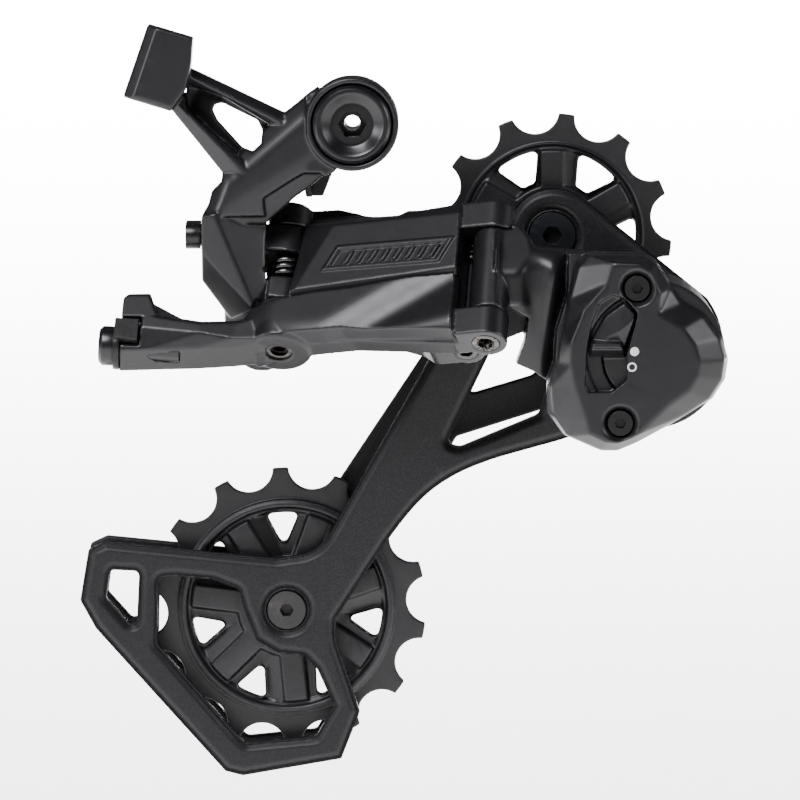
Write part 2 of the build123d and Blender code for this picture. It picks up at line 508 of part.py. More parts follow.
with BuildPart() as clutch_cover:
    for depth, inset in ((HOUSING_OUTBOARD, 0.0), (COVER_SHOULDER, SHOULDER_INSET), (COVER_FACE, 1.0)):
        with BuildSketch(at_depth(depth)):
            with BuildLine():
                Polyline(
                    *[
                        (back[0] + inset * (front[0] - back[0]), back[1] + inset * (front[1] - back[1]))
                        for back, front in zip(COVER_BACK, COVER_FRONT)
                    ],
                    close=True,
                )
            make_face()
    loft(ruled=True)
    bar(cage_axis, CAVITY_ROOF, HOUSING_OUTBOARD + 1, LEVER_CAVITY, mode=Mode.SUBTRACT)
    bar(cage_axis, CAVITY_ROOF - 1.4, CAVITY_ROOF + 1, PIVOT_STUB + RUNNING, mode=Mode.SUBTRACT)
    sector(WINDOW_RADII, WINDOW_ANGLES, COVER_FACE - 1, CAVITY_ROOF, mode=Mode.SUBTRACT)
    for screw in COVER_SCREWS:
        bar(cross_axis(screw), COVER_FACE - 1, -28.6, 2.8, mode=Mode.SUBTRACT)
        bar(cross_axis(screw), COVER_FACE - 1, HOUSING_OUTBOARD + 1, COVER_SCREW_RADIUS + 0.1, mode=Mode.SUBTRACT)
clutch_cover.part.label = "clutch_cover"
export_step(clutch_cover.part, "parts/clutch_cover.step")

with BuildPart() as clutch_lever:
    bar(cage_axis, *LEVER_DISC, LEVER_CAVITY - GAP)
    bar(cage_axis, LEVER_DISC[0] - 1.6, LEVER_DISC[0], PIVOT_STUB)
    sector((SHIELD_RADII[0], LEVER_CAVITY - GAP - 0.1), SHIELD_ANGLES, CAVITY_ROOF - 0.5, LEVER_DISC[0])
    sector(SHIELD_RADII, SHIELD_ANGLES, SHIELD_TOP, CAVITY_ROOF - 0.4)
    sector(SHIELD_RADII, HANDLE_ANGLES, COVER_FACE - 1.0, SHIELD_TOP)
clutch_lever.part.label = "clutch_lever"
export_step(clutch_lever.part, "parts/clutch_lever.step")

with BuildPart() as cover_screws:
    for screw in COVER_SCREWS:
        axis = cross_axis(screw)
        bar(axis, -30.5, -28.6, COVER_SCREW_HEAD)
        bar(axis, -28.6, FLANGE_BACK, COVER_SCREW_RADIUS)
        hex_socket(axis, -30.5, 1.2, 2.0)
cover_screws.part.label = "cover_screws"
export_step(cover_screws.part, "parts/cover_screws.step")

# ================================================================ clutch
SLEEVE = (5.9, 7.8)
SLEEVE_DEPTHS = (-22.0, -13.5)
ROLLER_RADIUS = 0.66
ROLLER_CIRCLE = 5.2
BAND_OUTER = 8.6
BAND_DEPTHS = (-21.5, -14.0)
BAND_SCREW_HEIGHT = 9.8

with BuildPart() as clutch_sleeve:
    bar(cage_axis, *SLEEVE_DEPTHS, SLEEVE[1])
    bar(cage_axis, *SLEEVE_DEPTHS, SLEEVE[0], mode=Mode.SUBTRACT)
clutch_sleeve.part.label = "clutch_sleeve"
export_step(clutch_sleeve.part, "parts/clutch_sleeve.step")

with BuildPart() as clutch_rollers:
    with BuildSketch(cage_axis.offset(BAND_DEPTHS[0])):
        with PolarLocations(ROLLER_CIRCLE, 10):
            Circle(ROLLER_RADIUS)
    extrude(amount=BAND_DEPTHS[1] - BAND_DEPTHS[0])
clutch_rollers.part.label = "clutch_rollers"
export_step(clutch_rollers.part, "parts/clutch_rollers.step")

with BuildPart() as friction_band:
    bar(cage_axis, *BAND_DEPTHS, BAND_OUTER)
    with BuildSketch(cage_axis.offset(BAND_DEPTHS[0])):
        with Locations((-1.4, -9.2), (1.4, -9.2)):
            Rectangle(1.2, 3.2)
    extrude(amount=BAND_DEPTHS[1] - BAND_DEPTHS[0])
    bar(cage_axis, *BAND_DEPTHS, SLEEVE[1], mode=Mode.SUBTRACT)
    with BuildSketch(cage_axis.offset(BAND_DEPTHS[0])):
        with Locations((0, -9)):
            Rectangle(1.6, 4)
    extrude(amount=BAND_DEPTHS[1] - BAND_DEPTHS[0], mode=Mode.SUBTRACT)
    bar(Plane(origin=(CAGE_PIVOT[0] - 6, -17.8, CAGE_PIVOT[1] + BAND_SCREW_HEIGHT), z_dir=(1, 0, 0)), 0, 12,
        0.95, mode=Mode.SUBTRACT)
friction_band.part.label = "friction_band"
export_step(friction_band.part, "parts/friction_band.step")

with BuildPart() as band_screw:
    screw_axis = Plane(origin=(CAGE_PIVOT[0], -17.8, CAGE_PIVOT[1] + BAND_SCREW_HEIGHT), z_dir=(1, 0, 0))
    bar(screw_axis, -2.0, 3.4, 0.9)
    bar(screw_axis, -3.4, -2.0, 1.1)
band_screw.part.label = "band_screw"
export_step(band_screw.part, "parts/band_screw.step")

# ================================================================ cage
UPPER_BOLT_HEAD = 4.7
LOWER_BOLT_HEAD = 3.9
BOLT_RADIUS = 2.5
SLEEVE_RADIUS = 3.9
CAP_THICKNESS = 0.7
SEAT_DEPTH = 1.6

WING = [(-15.6, -90.1), (-50.8, -86.6), (-54.2, -88.2), (-55.9, -98.6), (-52.7, -104.4), (-26.2, -133.9),
        (-22.6, -134.8), (-2.4, -131.3), (1.4, -121.6), (-3.4, -107.4), (-3.6, -102.6), (6.9, -86.5)]
SMALL_WINDOW = [(-49.8, -92.3), (-43.8, -92.6), (-44.4, -105.0), (-50.6, -98.1)]
LARGE_WINDOW = [(-39.9, -94.0), (-37.0, -93.6), (-28.7, -94.3), (-23.4, -96.4), (-22.4, -100.2), (-19.8, -106.8),
                (-15.2, -109.5), (-10.0, -110.0), (-7.3, -112.8), (-3.9, -120.4), (-7.6, -126.8),
                (-21.8, -128.2), (-24.0, -126.3), (-40.2, -107.6)]
OUTER_WINDOW = [(19.0, -66.4), (31.0, -41.5), (37.0, -41.5), (42.4, -46.4), (38.0, -60.3), (22.0, -67.0)]
INNER_WINDOW = [(22.0, -57.8), (31.5, -40.5), (38.5, -35.0), (43.5, -40.5), (41.5, -49.5), (36.7, -53.4)]

CAGE_SPRING_RADIUS = 9.6
CAGE_SPRING_WIRE = 0.8
CAGE_SPRING_START = -8.0
CAGE_SPRING_TURNS = 4
CAGE_SPRING_PITCH = 2.4

with BuildPart() as cage_spring:
    with BuildLine() as cage_coil:
        Helix(
            CAGE_SPRING_PITCH,
            CAGE_SPRING_PITCH * CAGE_SPRING_TURNS,
            CAGE_SPRING_RADIUS,
            center=(CAGE_PIVOT[0], CAGE_SPRING_START, CAGE_PIVOT[1]),
            direction=(0, 1, 0),
        )
    with BuildSketch(Plane(origin=cage_coil.line @ 0, z_dir=cage_coil.line % 0)):
        Circle(CAGE_SPRING_WIRE)
    sweep()
    spring_end = cage_coil.line @ 1
    bar(cross_axis((spring_end.X, spring_end.Z)), spring_end.Y, 6.8, CAGE_SPRING_WIRE)
cage_spring.part.label = "cage_spring"
export_step(cage_spring.part, "parts/cage_spring.step")

with BuildPart() as cage_plate_outer:
    with BuildSketch(at_depth(PLATE_OUTER[1])) as outer_outline:
        with BuildLine():
            left_edge = Line((32.2, -19.6), (-4.7, -85.0))
            shoulder = TangentArc(left_edge @ 1, (-12.6, -89.6), tangent=left_edge % 1)
            Polyline(shoulder @ 1, *WING)
            Spline(WING[-1], (10.3, -82.0), (14.3, -77.5), (19.6, -73.5), (31.7, -68.6), (44.6, -64.9))
            Line((44.6, -64.9), (56.0, -61.6))
            drum = ThreePointArc((56.0, -61.6), (74.2, -52.9), (72.4, -36.6))
            Line(drum @ 1, (45.9, -15.3))
            ThreePointArc((45.9, -15.3), (39.8, -14.0), (32.2, -19.6))
        make_face()
    extrude(amount=PLATE_OUTER[1] - PLATE_OUTER[0])
    slab(SMALL_WINDOW, 0, 12, 1.0, mode=Mode.SUBTRACT)
    slab(LARGE_WINDOW, 0, 12, 1.0, mode=Mode.SUBTRACT)
    slab(OUTER_WINDOW, 0, 12, 1.4, mode=Mode.SUBTRACT)
    for axis, head in ((upper_axis, UPPER_BOLT_HEAD), (lower_axis, LOWER_BOLT_HEAD)):
        bar(axis, 0, PLATE_OUTER[0] + SEAT_DEPTH, head + 0.3, mode=Mode.SUBTRACT)
        bar(axis, 0, 12, BOLT_RADIUS + 0.05, mode=Mode.SUBTRACT)
    bar(cage_axis, 0, 12, AXLE_RADIUS + 0.02, mode=Mode.SUBTRACT)
    bar(cross_axis((spring_end.X, spring_end.Z)), 0, 7.0, CAGE_SPRING_WIRE + 0.15, mode=Mode.SUBTRACT)
    bar(cross_axis(STOP_PIN), 0, 12, STOP_PIN_RADIUS, mode=Mode.SUBTRACT)
cage_plate_outer.part.label = "cage_plate_outer"
export_step(cage_plate_outer.part, "parts/cage_plate_outer.step")

with BuildPart() as cage_plate_inner:
    with BuildSketch(at_depth(PLATE_INNER[1])):
        with BuildLine():
            inner_left = Line((33.6, -20.0), (-2.4, -74.2))
            inner_turn = Line(inner_left @ 1, (-7.6, -83.0))
            inner_shoulder = TangentArc(inner_turn @ 1, (-14.0, -88.6), tangent=inner_turn % 1)
            Polyline(inner_shoulder @ 1, *WING)
            Polyline(WING[-1], (14.3, -77.5), (21.3, -66.0), (39.2, -60.3), (48.0, -51.0), (51.5, -39.0), (48.4, -26.0))
            ThreePointArc((48.4, -26.0), (43.4, -16.2), (33.6, -20.0))
        make_face()
    extrude(amount=PLATE_INNER[1] - PLATE_INNER[0])
    slab(SMALL_WINDOW, 12, 30, 1.0, mode=Mode.SUBTRACT)
    slab(LARGE_WINDOW, 12, 30, 1.0, mode=Mode.SUBTRACT)
    slab(INNER_WINDOW, 12, 30, 1.4, mode=Mode.SUBTRACT)
    for axis in (upper_axis, lower_axis):
        bar(axis, 12, 30, BOLT_RADIUS, mode=Mode.SUBTRACT)
cage_plate_inner.part.label = "cage_plate_inner"
export_step(cage_plate_inner.part, "parts/cage_plate_inner.step")

with BuildPart() as cage_axle:
    bar(cage_axis, -22.6, PLATE_OUTER[1], AXLE_RADIUS)
    bar(cage_axis, HUB_END + 0.5, PLATE_OUTER[0], 8.0)
    bar(cage_axis, -2, PLATE_OUTER[1], BOLT_RADIUS, mode=Mode.SUBTRACT)
cage_axle.part.label = "cage_axle"
export_step(cage_axle.part, "parts/cage_axle.step")

with BuildPart() as axle_screw:
    bar(cage_axis, PLATE_OUTER[1], PLATE_OUTER[1] + 1.8, 5.5)
    bar(cage_axis, -1, PLATE_OUTER[1], BOLT_RADIUS)
    hex_socket(cage_axis, PLATE_OUTER[1] + 0.4, 3.0, 4.0)
axle_screw.part.label = "axle_screw"
export_step(axle_screw.part, "parts/axle_screw.step")

with BuildPart() as cage_stop_pin:
    bar(cross_axis(STOP_PIN), 1.0, PLATE_OUTER[1], STOP_PIN_RADIUS)
cage_stop_pin.part.label = "cage_stop_pin"
export_step(cage_stop_pin.part, "parts/cage_stop_pin.step")


def pulley_bolt(axis, head_radius, key):
    """Bolt through both plates, with its head sunk in the outer one."""
    bar(axis, PLATE_OUTER[0] + 0.2, PLATE_OUTER[0] + SEAT_DEPTH, head_radius)
    bar(axis, PLATE_OUTER[0] + SEAT_DEPTH, PLATE_INNER[1], BOLT_RADIUS)
    hex_socket(axis, PLATE_OUTER[0], 2.2, key)


def pulley_sleeve(axis):
    """Bushing between the plates that the pulley turns on."""
    bar(axis, PLATE_OUTER[1], PLATE_INNER[0], SLEEVE_RADIUS)
    bar(axis, PLATE_OUTER[1], PLATE_INNER[0], BOLT_RADIUS + 0.05, mode=Mode.SUBTRACT)


def dust_caps(axis):
    """The two caps beside a pulley's hub."""
    for start in (PLATE_OUTER[1], PLATE_INNER[0] - CAP_THICKNESS):
        bar(axis, start, start + CAP_THICKNESS, 7.0)
        bar(axis, start, start + CAP_THICKNESS, SLEEVE_RADIUS, mode=Mode.SUBTRACT)


with BuildPart() as upper_pulley_bolt:
    pulley_bolt(upper_axis, UPPER_BOLT_HEAD, 3.6)
upper_pulley_bolt.part.label = "upper_pulley_bolt"
export_step(upper_pulley_bolt.part, "parts/upper_pulley_bolt.step")

with BuildPart() as lower_pulley_bolt:
    pulley_bolt(lower_axis, LOWER_BOLT_HEAD, 2.5)
lower_pulley_bolt.part.label = "lower_pulley_bolt"
export_step(lower_pulley_bolt.part, "parts/lower_pulley_bolt.step")

with BuildPart() as upper_bushing:
    pulley_sleeve(upper_axis)
upper_bushing.part.label = "upper_bushing"
export_step(upper_bushing.part, "parts/upper_bushing.step")

with BuildPart() as lower_bushing:
    pulley_sleeve(lower_axis)
lower_bushing.part.label = "lower_bushing"
export_step(lower_bushing.part, "parts/lower_bushing.step")

with BuildPart() as upper_dust_caps:
    dust_caps(upper_axis)
upper_dust_caps.part.label = "upper_dust_caps"
export_step(upper_dust_caps.part, "parts/upper_dust_caps.step")

with BuildPart() as lower_dust_caps:
    dust_caps(lower_axis)
lower_dust_caps.part.label = "lower_dust_caps"
export_step(lower_dust_caps.part, "parts/lower_dust_caps.step")

# ================================================================ pulleys
POCKET_RADIUS = 5.0                   # the hollow between two teeth
POCKET_LIFT = 1.05                    # its centre, outside the pitch circle
TOOTH_WIDTH = 2.3
RIM_WIDTH = 4.8
HUB_WIDTH = PLATE_INNER[0] - PLATE_OUTER[1] - 2 * (CAP_THICKNESS + GAP)
HUB_RADIUS = 6.6


def pulley(axis, teeth, tooth_angle, rim, web, spokes, spoke_angle, spoke_width):
    """Toothed pulley: a thin toothed disc, a raised rim ring, broad spokes that meet in a web, and a wide hub."""
    pitch_radius = CHAIN_PITCH / 2 / sin(pi / teeth)
    middle = axis.offset(PULLEY_MID)

    def layer(width, sketch, mode=Mode.ADD):
        extrude(sketch, amount=width / 2, both=True, mode=mode)

    with BuildSketch(middle) as toothed:
        Circle(pitch_radius + 0.1)
        with PolarLocations(pitch_radius + POCKET_LIFT, teeth, start_angle=-tooth_angle + 180 / teeth):
            Circle(POCKET_RADIUS, mode=Mode.SUBTRACT)
    layer(TOOTH_WIDTH, toothed.sketch)
    with BuildSketch(middle) as ring:
        Circle(rim[1])
    layer(RIM_WIDTH, ring.sketch)
    with BuildSketch(middle) as windows:
        Circle(rim[0])
        Circle(web, mode=Mode.SUBTRACT)
        with PolarLocations(rim[0] / 2, spokes, start_angle=-spoke_angle):
            Rectangle(rim[0] + 4, spoke_width, mode=Mode.SUBTRACT)
        fillet(windows.vertices(), 0.9)
    layer(RIM_WIDTH + 1, windows.sketch, mode=Mode.SUBTRACT)
    bar(axis, PULLEY_MID - HUB_WIDTH / 2, PULLEY_MID + HUB_WIDTH / 2, HUB_RADIUS)
    bar(axis, 0, 30, SLEEVE_RADIUS + RUNNING, mode=Mode.SUBTRACT)


with BuildPart() as upper_pulley:
    pulley(upper_axis, UPPER_TEETH, 82.8, (17.2, 18.6), 10.8, 6, 85.5, 8.4)
upper_pulley.part.label = "upper_pulley"
export_step(upper_pulley.part, "parts/upper_pulley.step")

with BuildPart() as lower_pulley:
    pulley(lower_axis, LOWER_TEETH, 92.7, (19.6, 22.2), 10.0, 7, 92.8 + 180 / 7, 10.6)
lower_pulley.part.label = "lower_pulley"
export_step(lower_pulley.part, "parts/lower_pulley.step")
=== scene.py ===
import json
from math import cos, hypot, pi, radians, sin, sqrt, tan

import bmesh
import bpy
import numpy as np
from mathutils import Matrix, Vector


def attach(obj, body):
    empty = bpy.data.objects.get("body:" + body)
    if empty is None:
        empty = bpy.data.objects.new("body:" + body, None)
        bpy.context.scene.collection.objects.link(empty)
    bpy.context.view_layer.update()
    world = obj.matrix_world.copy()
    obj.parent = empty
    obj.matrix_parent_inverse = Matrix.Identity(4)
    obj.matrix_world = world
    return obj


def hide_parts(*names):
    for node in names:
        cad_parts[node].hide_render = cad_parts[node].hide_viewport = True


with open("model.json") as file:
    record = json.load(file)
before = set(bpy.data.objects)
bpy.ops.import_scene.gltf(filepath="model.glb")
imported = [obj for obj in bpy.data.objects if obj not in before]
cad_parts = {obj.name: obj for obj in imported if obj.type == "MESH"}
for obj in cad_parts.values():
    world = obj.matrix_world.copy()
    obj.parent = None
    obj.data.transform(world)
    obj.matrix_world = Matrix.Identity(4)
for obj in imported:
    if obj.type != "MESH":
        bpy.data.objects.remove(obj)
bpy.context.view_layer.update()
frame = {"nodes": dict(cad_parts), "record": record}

# The row frame: +X forward, +Y inboard, +Z up. Shapes are written in millimetres, built in metres.
MM = 0.001

# ---------------------------------------------------------------- camera, light and floor
VIEW_CENTRE = Vector((9.63, 0.0, -56.9)) * MM
VIEW_DISTANCE = 1.5
VIEW_ELEVATION = radians(5.0)
PICTURE_PIXELS = 800
PIXELS_PER_MM = 4.91                  # in the object's plane
SENSOR = 36.0
WORLD_STRENGTH = 0.06
COOL_LIGHT = (0.96, 0.95, 1.0)
KEY_LIGHTS = (                        # name, place, size and power
    ("top_light", (-0.25, -0.6, 0.62), 0.4, 15),
    ("left_light", (-0.9, -0.5, 0.2), 0.3, 6),
    ("right_light", (0.9, -0.2, 0.3), 0.35, 5),
)
BACKDROP_Y = 6.6                      # middle of the floor that the picture shows behind the object
BACKDROP_LIGHT_HEIGHT = 1.9
BACKDROP_LIGHT_SIZE = (10.0, 9.8)
BACKDROP_LIGHT_POWER = 6900
FLOOR_DROP = 0.20                     # the floor below the mounting bolt's axis
FLOOR_REACH = 12.0


def linked(name, data):
    """New object in the scene."""
    thing = bpy.data.objects.new(name, data)
    bpy.context.scene.collection.objects.link(thing)
    return thing


def make_camera():
    camera = bpy.data.cameras.new("camera")
    camera.sensor_width = SENSOR
    camera.lens = SENSOR * VIEW_DISTANCE / (PICTURE_PIXELS / PIXELS_PER_MM * MM)
    camera.clip_start = 0.05
    camera.clip_end = 50
    holder = linked("camera", camera)
    offset = Vector((0, -cos(VIEW_ELEVATION), sin(VIEW_ELEVATION))) * VIEW_DISTANCE
    holder.location = VIEW_CENTRE + offset
    holder.rotation_euler = (-offset).to_track_quat("-Z", "Y").to_euler()
    bpy.context.scene.camera = holder


def area_light(name, place, size, power, target=VIEW_CENTRE):
    """Soft light at a place that faces the object or another target."""
    light = bpy.data.lights.new(name, "AREA")
    light.energy = power
    light.size = size
    holder = linked(name, light)
    holder.location = place
    holder.rotation_euler = (Vector(target) - Vector(place)).to_track_quat("-Z", "Y").to_euler()
    return holder


def make_studio():
    world = bpy.data.worlds.new("studio")
    bpy.context.scene.world = world
    world.use_nodes = True
    background = world.node_tree.nodes["Background"]
    background.inputs["Color"].default_value = (1.0, 1.0, 1.0, 1)
    background.inputs["Strength"].default_value = WORLD_STRENGTH
    for name, place, size, power in KEY_LIGHTS:
        area_light(name, place, size, power).data.color = COOL_LIGHT
    width, depth = BACKDROP_LIGHT_SIZE
    backdrop = area_light("backdrop_light", (0, BACKDROP_Y, BACKDROP_LIGHT_HEIGHT), width,
                          BACKDROP_LIGHT_POWER, target=(0, BACKDROP_Y, 0))
    backdrop.data.shape = "RECTANGLE"
    backdrop.data.size_y = depth
    backdrop.visible_glossy = False

    mesh = bpy.data.meshes.new("floor")
    corners = [(x * FLOOR_REACH, y * FLOOR_REACH, -FLOOR_DROP)
               for x, y in ((-1, -1), (1, -1), (1, 1), (-1, 1))]
    mesh.from_pydata(corners, [], [(0, 1, 2, 3)])
    floor = linked("floor", mesh)
    floor.data.materials.append(floor_material())


# ---------------------------------------------------------------- materials
# Strength of the painted highlight that lightens sharp edges.
EDGE_HIGHLIGHT = 0.5
ROUGHNESS_SPREAD = 0.1
NOISE_ROUGHNESS = 0.6


def new_material(name):
    material = bpy.data.materials.new(name)
    material.use_nodes = True
    return material, material.node_tree, material.node_tree.nodes["Principled BSDF"]


def floor_material():
    material, _, shader = new_material("floor")
    shader.inputs["Base Color"].default_value = (0.92, 0.92, 0.92, 1)
    shader.inputs["Roughness"].default_value = 0.9
    return material


def noise(tree, scale, detail):
    """Noise over the row frame's own coordinates."""
    place = tree.nodes.new("ShaderNodeTexCoord")
    texture = tree.nodes.new("ShaderNodeTexNoise")
    texture.inputs["Scale"].default_value = scale
    texture.inputs["Detail"].default_value = detail
    texture.inputs["Roughness"].default_value = NOISE_ROUGHNESS
    tree.links.new(place.outputs["Object"], texture.inputs["Vector"])
    return texture.outputs["Fac"]


def ramp(tree, source, stops):
    """Colour ramp over a factor, with stops of (position, colour)."""
    node = tree.nodes.new("ShaderNodeValToRGB")
    elements = node.color_ramp.elements
    while len(elements) < len(stops):
        elements.new(0.5)
    for element, (position, colour) in zip(elements, stops):
        element.position = position
        element.color = (*colour, 1)
    tree.links.new(source, node.inputs["Fac"])
    return node.outputs["Color"]


def mix(tree, factor, first, second):
    """Colour between a first, which is a socket, and a second, which is a value."""
    node = tree.nodes.new("ShaderNodeMix")
    node.data_type = "RGBA"
    tree.links.new(factor, node.inputs[0])
    tree.links.new(first, node.inputs[6])
    node.inputs[7].default_value = second
    return node.outputs[2]


def times(tree, first, second):
    """A socket times another socket or a number."""
    node = tree.nodes.new("ShaderNodeMath")
    node.operation = "MULTIPLY"
    tree.links.new(first, node.inputs[0])
    if isinstance(second, float):
        node.inputs[1].default_value = second
    else:
        tree.links.new(second, node.inputs[1])
    return node.outputs[0]


def grey(level, tint=(1.0, 1.0, 1.0)):
    return tuple(level * channel for channel in tint)


def textured(name, base, speck_and_highlight, rough, grain, grain_depth, tint=(1, 1, 1), speckle=0.0,
             metallic=0.0, specular=0.34):
    """Painted, moulded or blackened surface: mottled colour, fine grain and bump, and a painted
    highlight on sharp edges, in patches.
    """
    material, tree, shader = new_material(name)
    mottle = ramp(tree, noise(tree, 260, 4),
                  [(0.3, grey(base * 0.88, tint)), (0.7, grey(base * 1.12, tint))])
    fine = noise(tree, grain, 2)
    # Lighter colour of the random specks and of the painted highlight on sharp edges.
    speck_and_highlight_colour = (*grey(speck_and_highlight, tint), 1)
    colour = mottle
    if speckle > 0:
        specks = ramp(tree, fine, [(0.46, grey(0.0)), (0.72, grey(1.0))])
        colour = mix(tree, times(tree, specks, speckle), colour, speck_and_highlight_colour)
    geometry = tree.nodes.new("ShaderNodeNewGeometry")
    # Painted highlight: sharp edges are lightened towards the speck colour, in noise patches.
    edges = ramp(tree, geometry.outputs["Pointiness"], [(0.53, grey(0.0)), (0.62, grey(1.0))])
    patches = ramp(tree, noise(tree, 900, 3), [(0.35, grey(0.0)), (0.75, grey(1.0))])
    colour = mix(tree, times(tree, times(tree, edges, patches), EDGE_HIGHLIGHT), colour, speck_and_highlight_colour)
    tree.links.new(colour, shader.inputs["Base Color"])
    roughness = tree.nodes.new("ShaderNodeMapRange")
    roughness.inputs["To Min"].default_value = rough - ROUGHNESS_SPREAD / 2
    roughness.inputs["To Max"].default_value = rough + ROUGHNESS_SPREAD / 2
    tree.links.new(noise(tree, 600, 3), roughness.inputs["Value"])
    tree.links.new(roughness.outputs["Result"], shader.inputs["Roughness"])
    bump = tree.nodes.new("ShaderNodeBump")
    bump.inputs["Strength"].default_value = 0.5
    bump.inputs["Distance"].default_value = grain_depth * MM
    tree.links.new(fine, bump.inputs["Height"])
    tree.links.new(bump.outputs["Normal"], shader.inputs["Normal"])
    shader.inputs["Metallic"].default_value = metallic
    shader.inputs["Specular IOR Level"].default_value = specular
    return material


COOL = (1.0, 0.97, 1.12)
WARM = (1.06, 1.0, 0.93)
BRONZE = (1.2, 0.9, 0.5)
BLUE = (0.9, 1.0, 1.6)
casting = textured("casting", 0.0045, 0.022, 0.35, 4500, 0.006, COOL, specular=0.3)
plate_finish = textured("plate_finish", 0.0026, 0.022, 0.46, 3800, 0.04, COOL, speckle=0.5,
                        specular=0.22)
pulley_finish = textured("pulley_finish", 0.0026, 0.02, 0.42, 3800, 0.025, COOL, speckle=0.35)
black_steel = textured("black_steel", 0.004, 0.05, 0.28, 3000, 0.003, metallic=0.3)
anchor_black = textured("anchor_black", 0.003, 0.02, 0.3, 3000, 0.003, COOL)
pin_steel = textured("pin_steel", 0.05, 0.16, 0.3, 2500, 0.002, WARM, metallic=1.0)
dark_steel = textured("dark_steel", 0.01, 0.06, 0.34, 2500, 0.002, metallic=0.6)
spring_steel = textured("spring_steel", 0.07, 0.2, 0.25, 2500, 0.002, metallic=1.0)
bronze = textured("bronze", 0.12, 0.3, 0.4, 2500, 0.004, BRONZE, metallic=1.0)
rubber = textured("rubber", 0.003, 0.01, 0.7, 3000, 0.01)
bolt_brown = textured("bolt_brown", 0.013, 0.05, 0.42, 3000, 0.004, WARM, metallic=0.2)
white_paint = textured("white_paint", 0.4, 0.5, 0.5, 3000, 0.003)
bolt_blue = textured("bolt_blue", 0.002, 0.02, 0.36, 3000, 0.004, BLUE)

SLOT_FINISH = {
    "mounting_bolt": anchor_black,
    "black_steel": black_steel,
    "bronze": bronze,
    "b_casting": casting,
    "outer_casting": casting,
    "inner_casting": casting,
    "p_casting": casting,
    "clutch_cover": casting,
    "clutch_lever": casting,
    "bright_steel": dark_steel,
    "anchor_bolt": anchor_black,
    "pin_steel": pin_steel,
    "spring_steel": spring_steel,
    "seal": rubber,
    "outer_plate": plate_finish,
    "inner_plate": plate_finish,
    "upper_bolt": bolt_blue,
    "lower_bolt": bolt_brown,
    "dust_cap": plate_finish,
    "pulley": pulley_finish,
}


def finish_cad_nodes():
    """Gives every CAD node its finish and small rounded edges."""
    slots = {row["node"]: row["material_slot"] for row in frame["record"]["subparts"]}
    for node, piece in frame["nodes"].items():
        finish = SLOT_FINISH[slots[node]]
        for index in range(len(piece.data.materials)):
            piece.material_slots[index].material = finish
        piece.modifiers.new("weld", "WELD").merge_threshold = 0.002 * MM
        round_edges(piece, 0.25, 35)


def round_edges(piece, width, angle):
    """Bevel of a width in millimetres along edges sharper than an angle in degrees."""
    soften = piece.modifiers.new("soften", "BEVEL")
    soften.width = width * MM
    soften.segments = 2
    soften.limit_method = "ANGLE"
    soften.angle_limit = radians(angle)


# ---------------------------------------------------------------- solid modelling in millimetres
RELIEF_STEP = 0.35


def plane(origin, x_direction, normal):
    """4x4 matrix of a drawing plane: x, y and normal, then the origin."""
    z = Vector(normal).normalized()
    x = (Vector(x_direction) - z * z.dot(Vector(x_direction))).normalized()
    y = z.cross(x)
    return Matrix(((x.x, y.x, z.x, origin[0]), (x.y, y.y, z.y, origin[1]), (x.z, y.z, z.z, origin[2]),
                   (0, 0, 0, 1)))


def shifted(base, x, y):
    """The same plane with its origin moved within it."""
    return base @ Matrix.Translation((x, y, 0))


def mesh_from(vertices, faces):
    mesh = bpy.data.meshes.new("solid")
    mesh.from_pydata([tuple(v) for v in vertices], [], faces)
    shape = bmesh.new()
    shape.from_mesh(mesh)
    bmesh.ops.recalc_face_normals(shape, faces=shape.faces)
    shape.to_mesh(mesh)
    shape.free()
    return mesh


def prism(base, outline, low, high):
    """Prism over an outline, between two heights over the plane."""
    count = len(outline)
    corners = [base @ Vector((x, y, height)) for height in (low, high) for x, y in outline]
    sides = [(i, (i + 1) % count, count + (i + 1) % count, count + i) for i in range(count)]
    return mesh_from(corners, [tuple(range(count)), tuple(range(count, 2 * count))] + sides)


def circle(radius, count):
    turns = [2 * pi * i / count for i in range(count)]
    return [(radius * cos(t), radius * sin(t)) for t in turns]


def rod(base, low, high, radius, count=64):
    return prism(base, circle(radius, count), low, high)


def lathe(base, profile, count=96):
    """Solid of revolution about the plane's normal, from (radius, height) points, with flat ends."""
    vertices = []
    for radius, height in profile:
        vertices += [base @ Vector((x, y, height)) for x, y in circle(radius, count)]
    faces = []
    for ring in range(len(profile) - 1):
        for i in range(count):
            j = (i + 1) % count
            low, high = ring * count, (ring + 1) * count
            faces.append((low + i, low + j, high + j, high + i))
    faces.append(tuple(range(count)))
    faces.append(tuple(range((len(profile) - 1) * count, len(profile) * count)))
    return mesh_from(vertices, faces)


def hull(points, base):
    """Convex solid round points given in a plane's own x, y and height."""
    shape = bmesh.new()
    for point in points:
        shape.verts.new(base @ Vector(point))
    bmesh.ops.convex_hull(shape, input=shape.verts)
    spare = [v for v in shape.verts if not v.link_faces]
    bmesh.ops.delete(shape, geom=spare, context="VERTS")
    bmesh.ops.recalc_face_normals(shape, faces=shape.faces)
    mesh = bpy.data.meshes.new("hull")
    shape.to_mesh(mesh)
    shape.free()
    return mesh


def at_heights(outline, *heights):
    """Points of an outline at each height over its plane."""
    return [(x, y, height) for height in heights for x, y in outline]


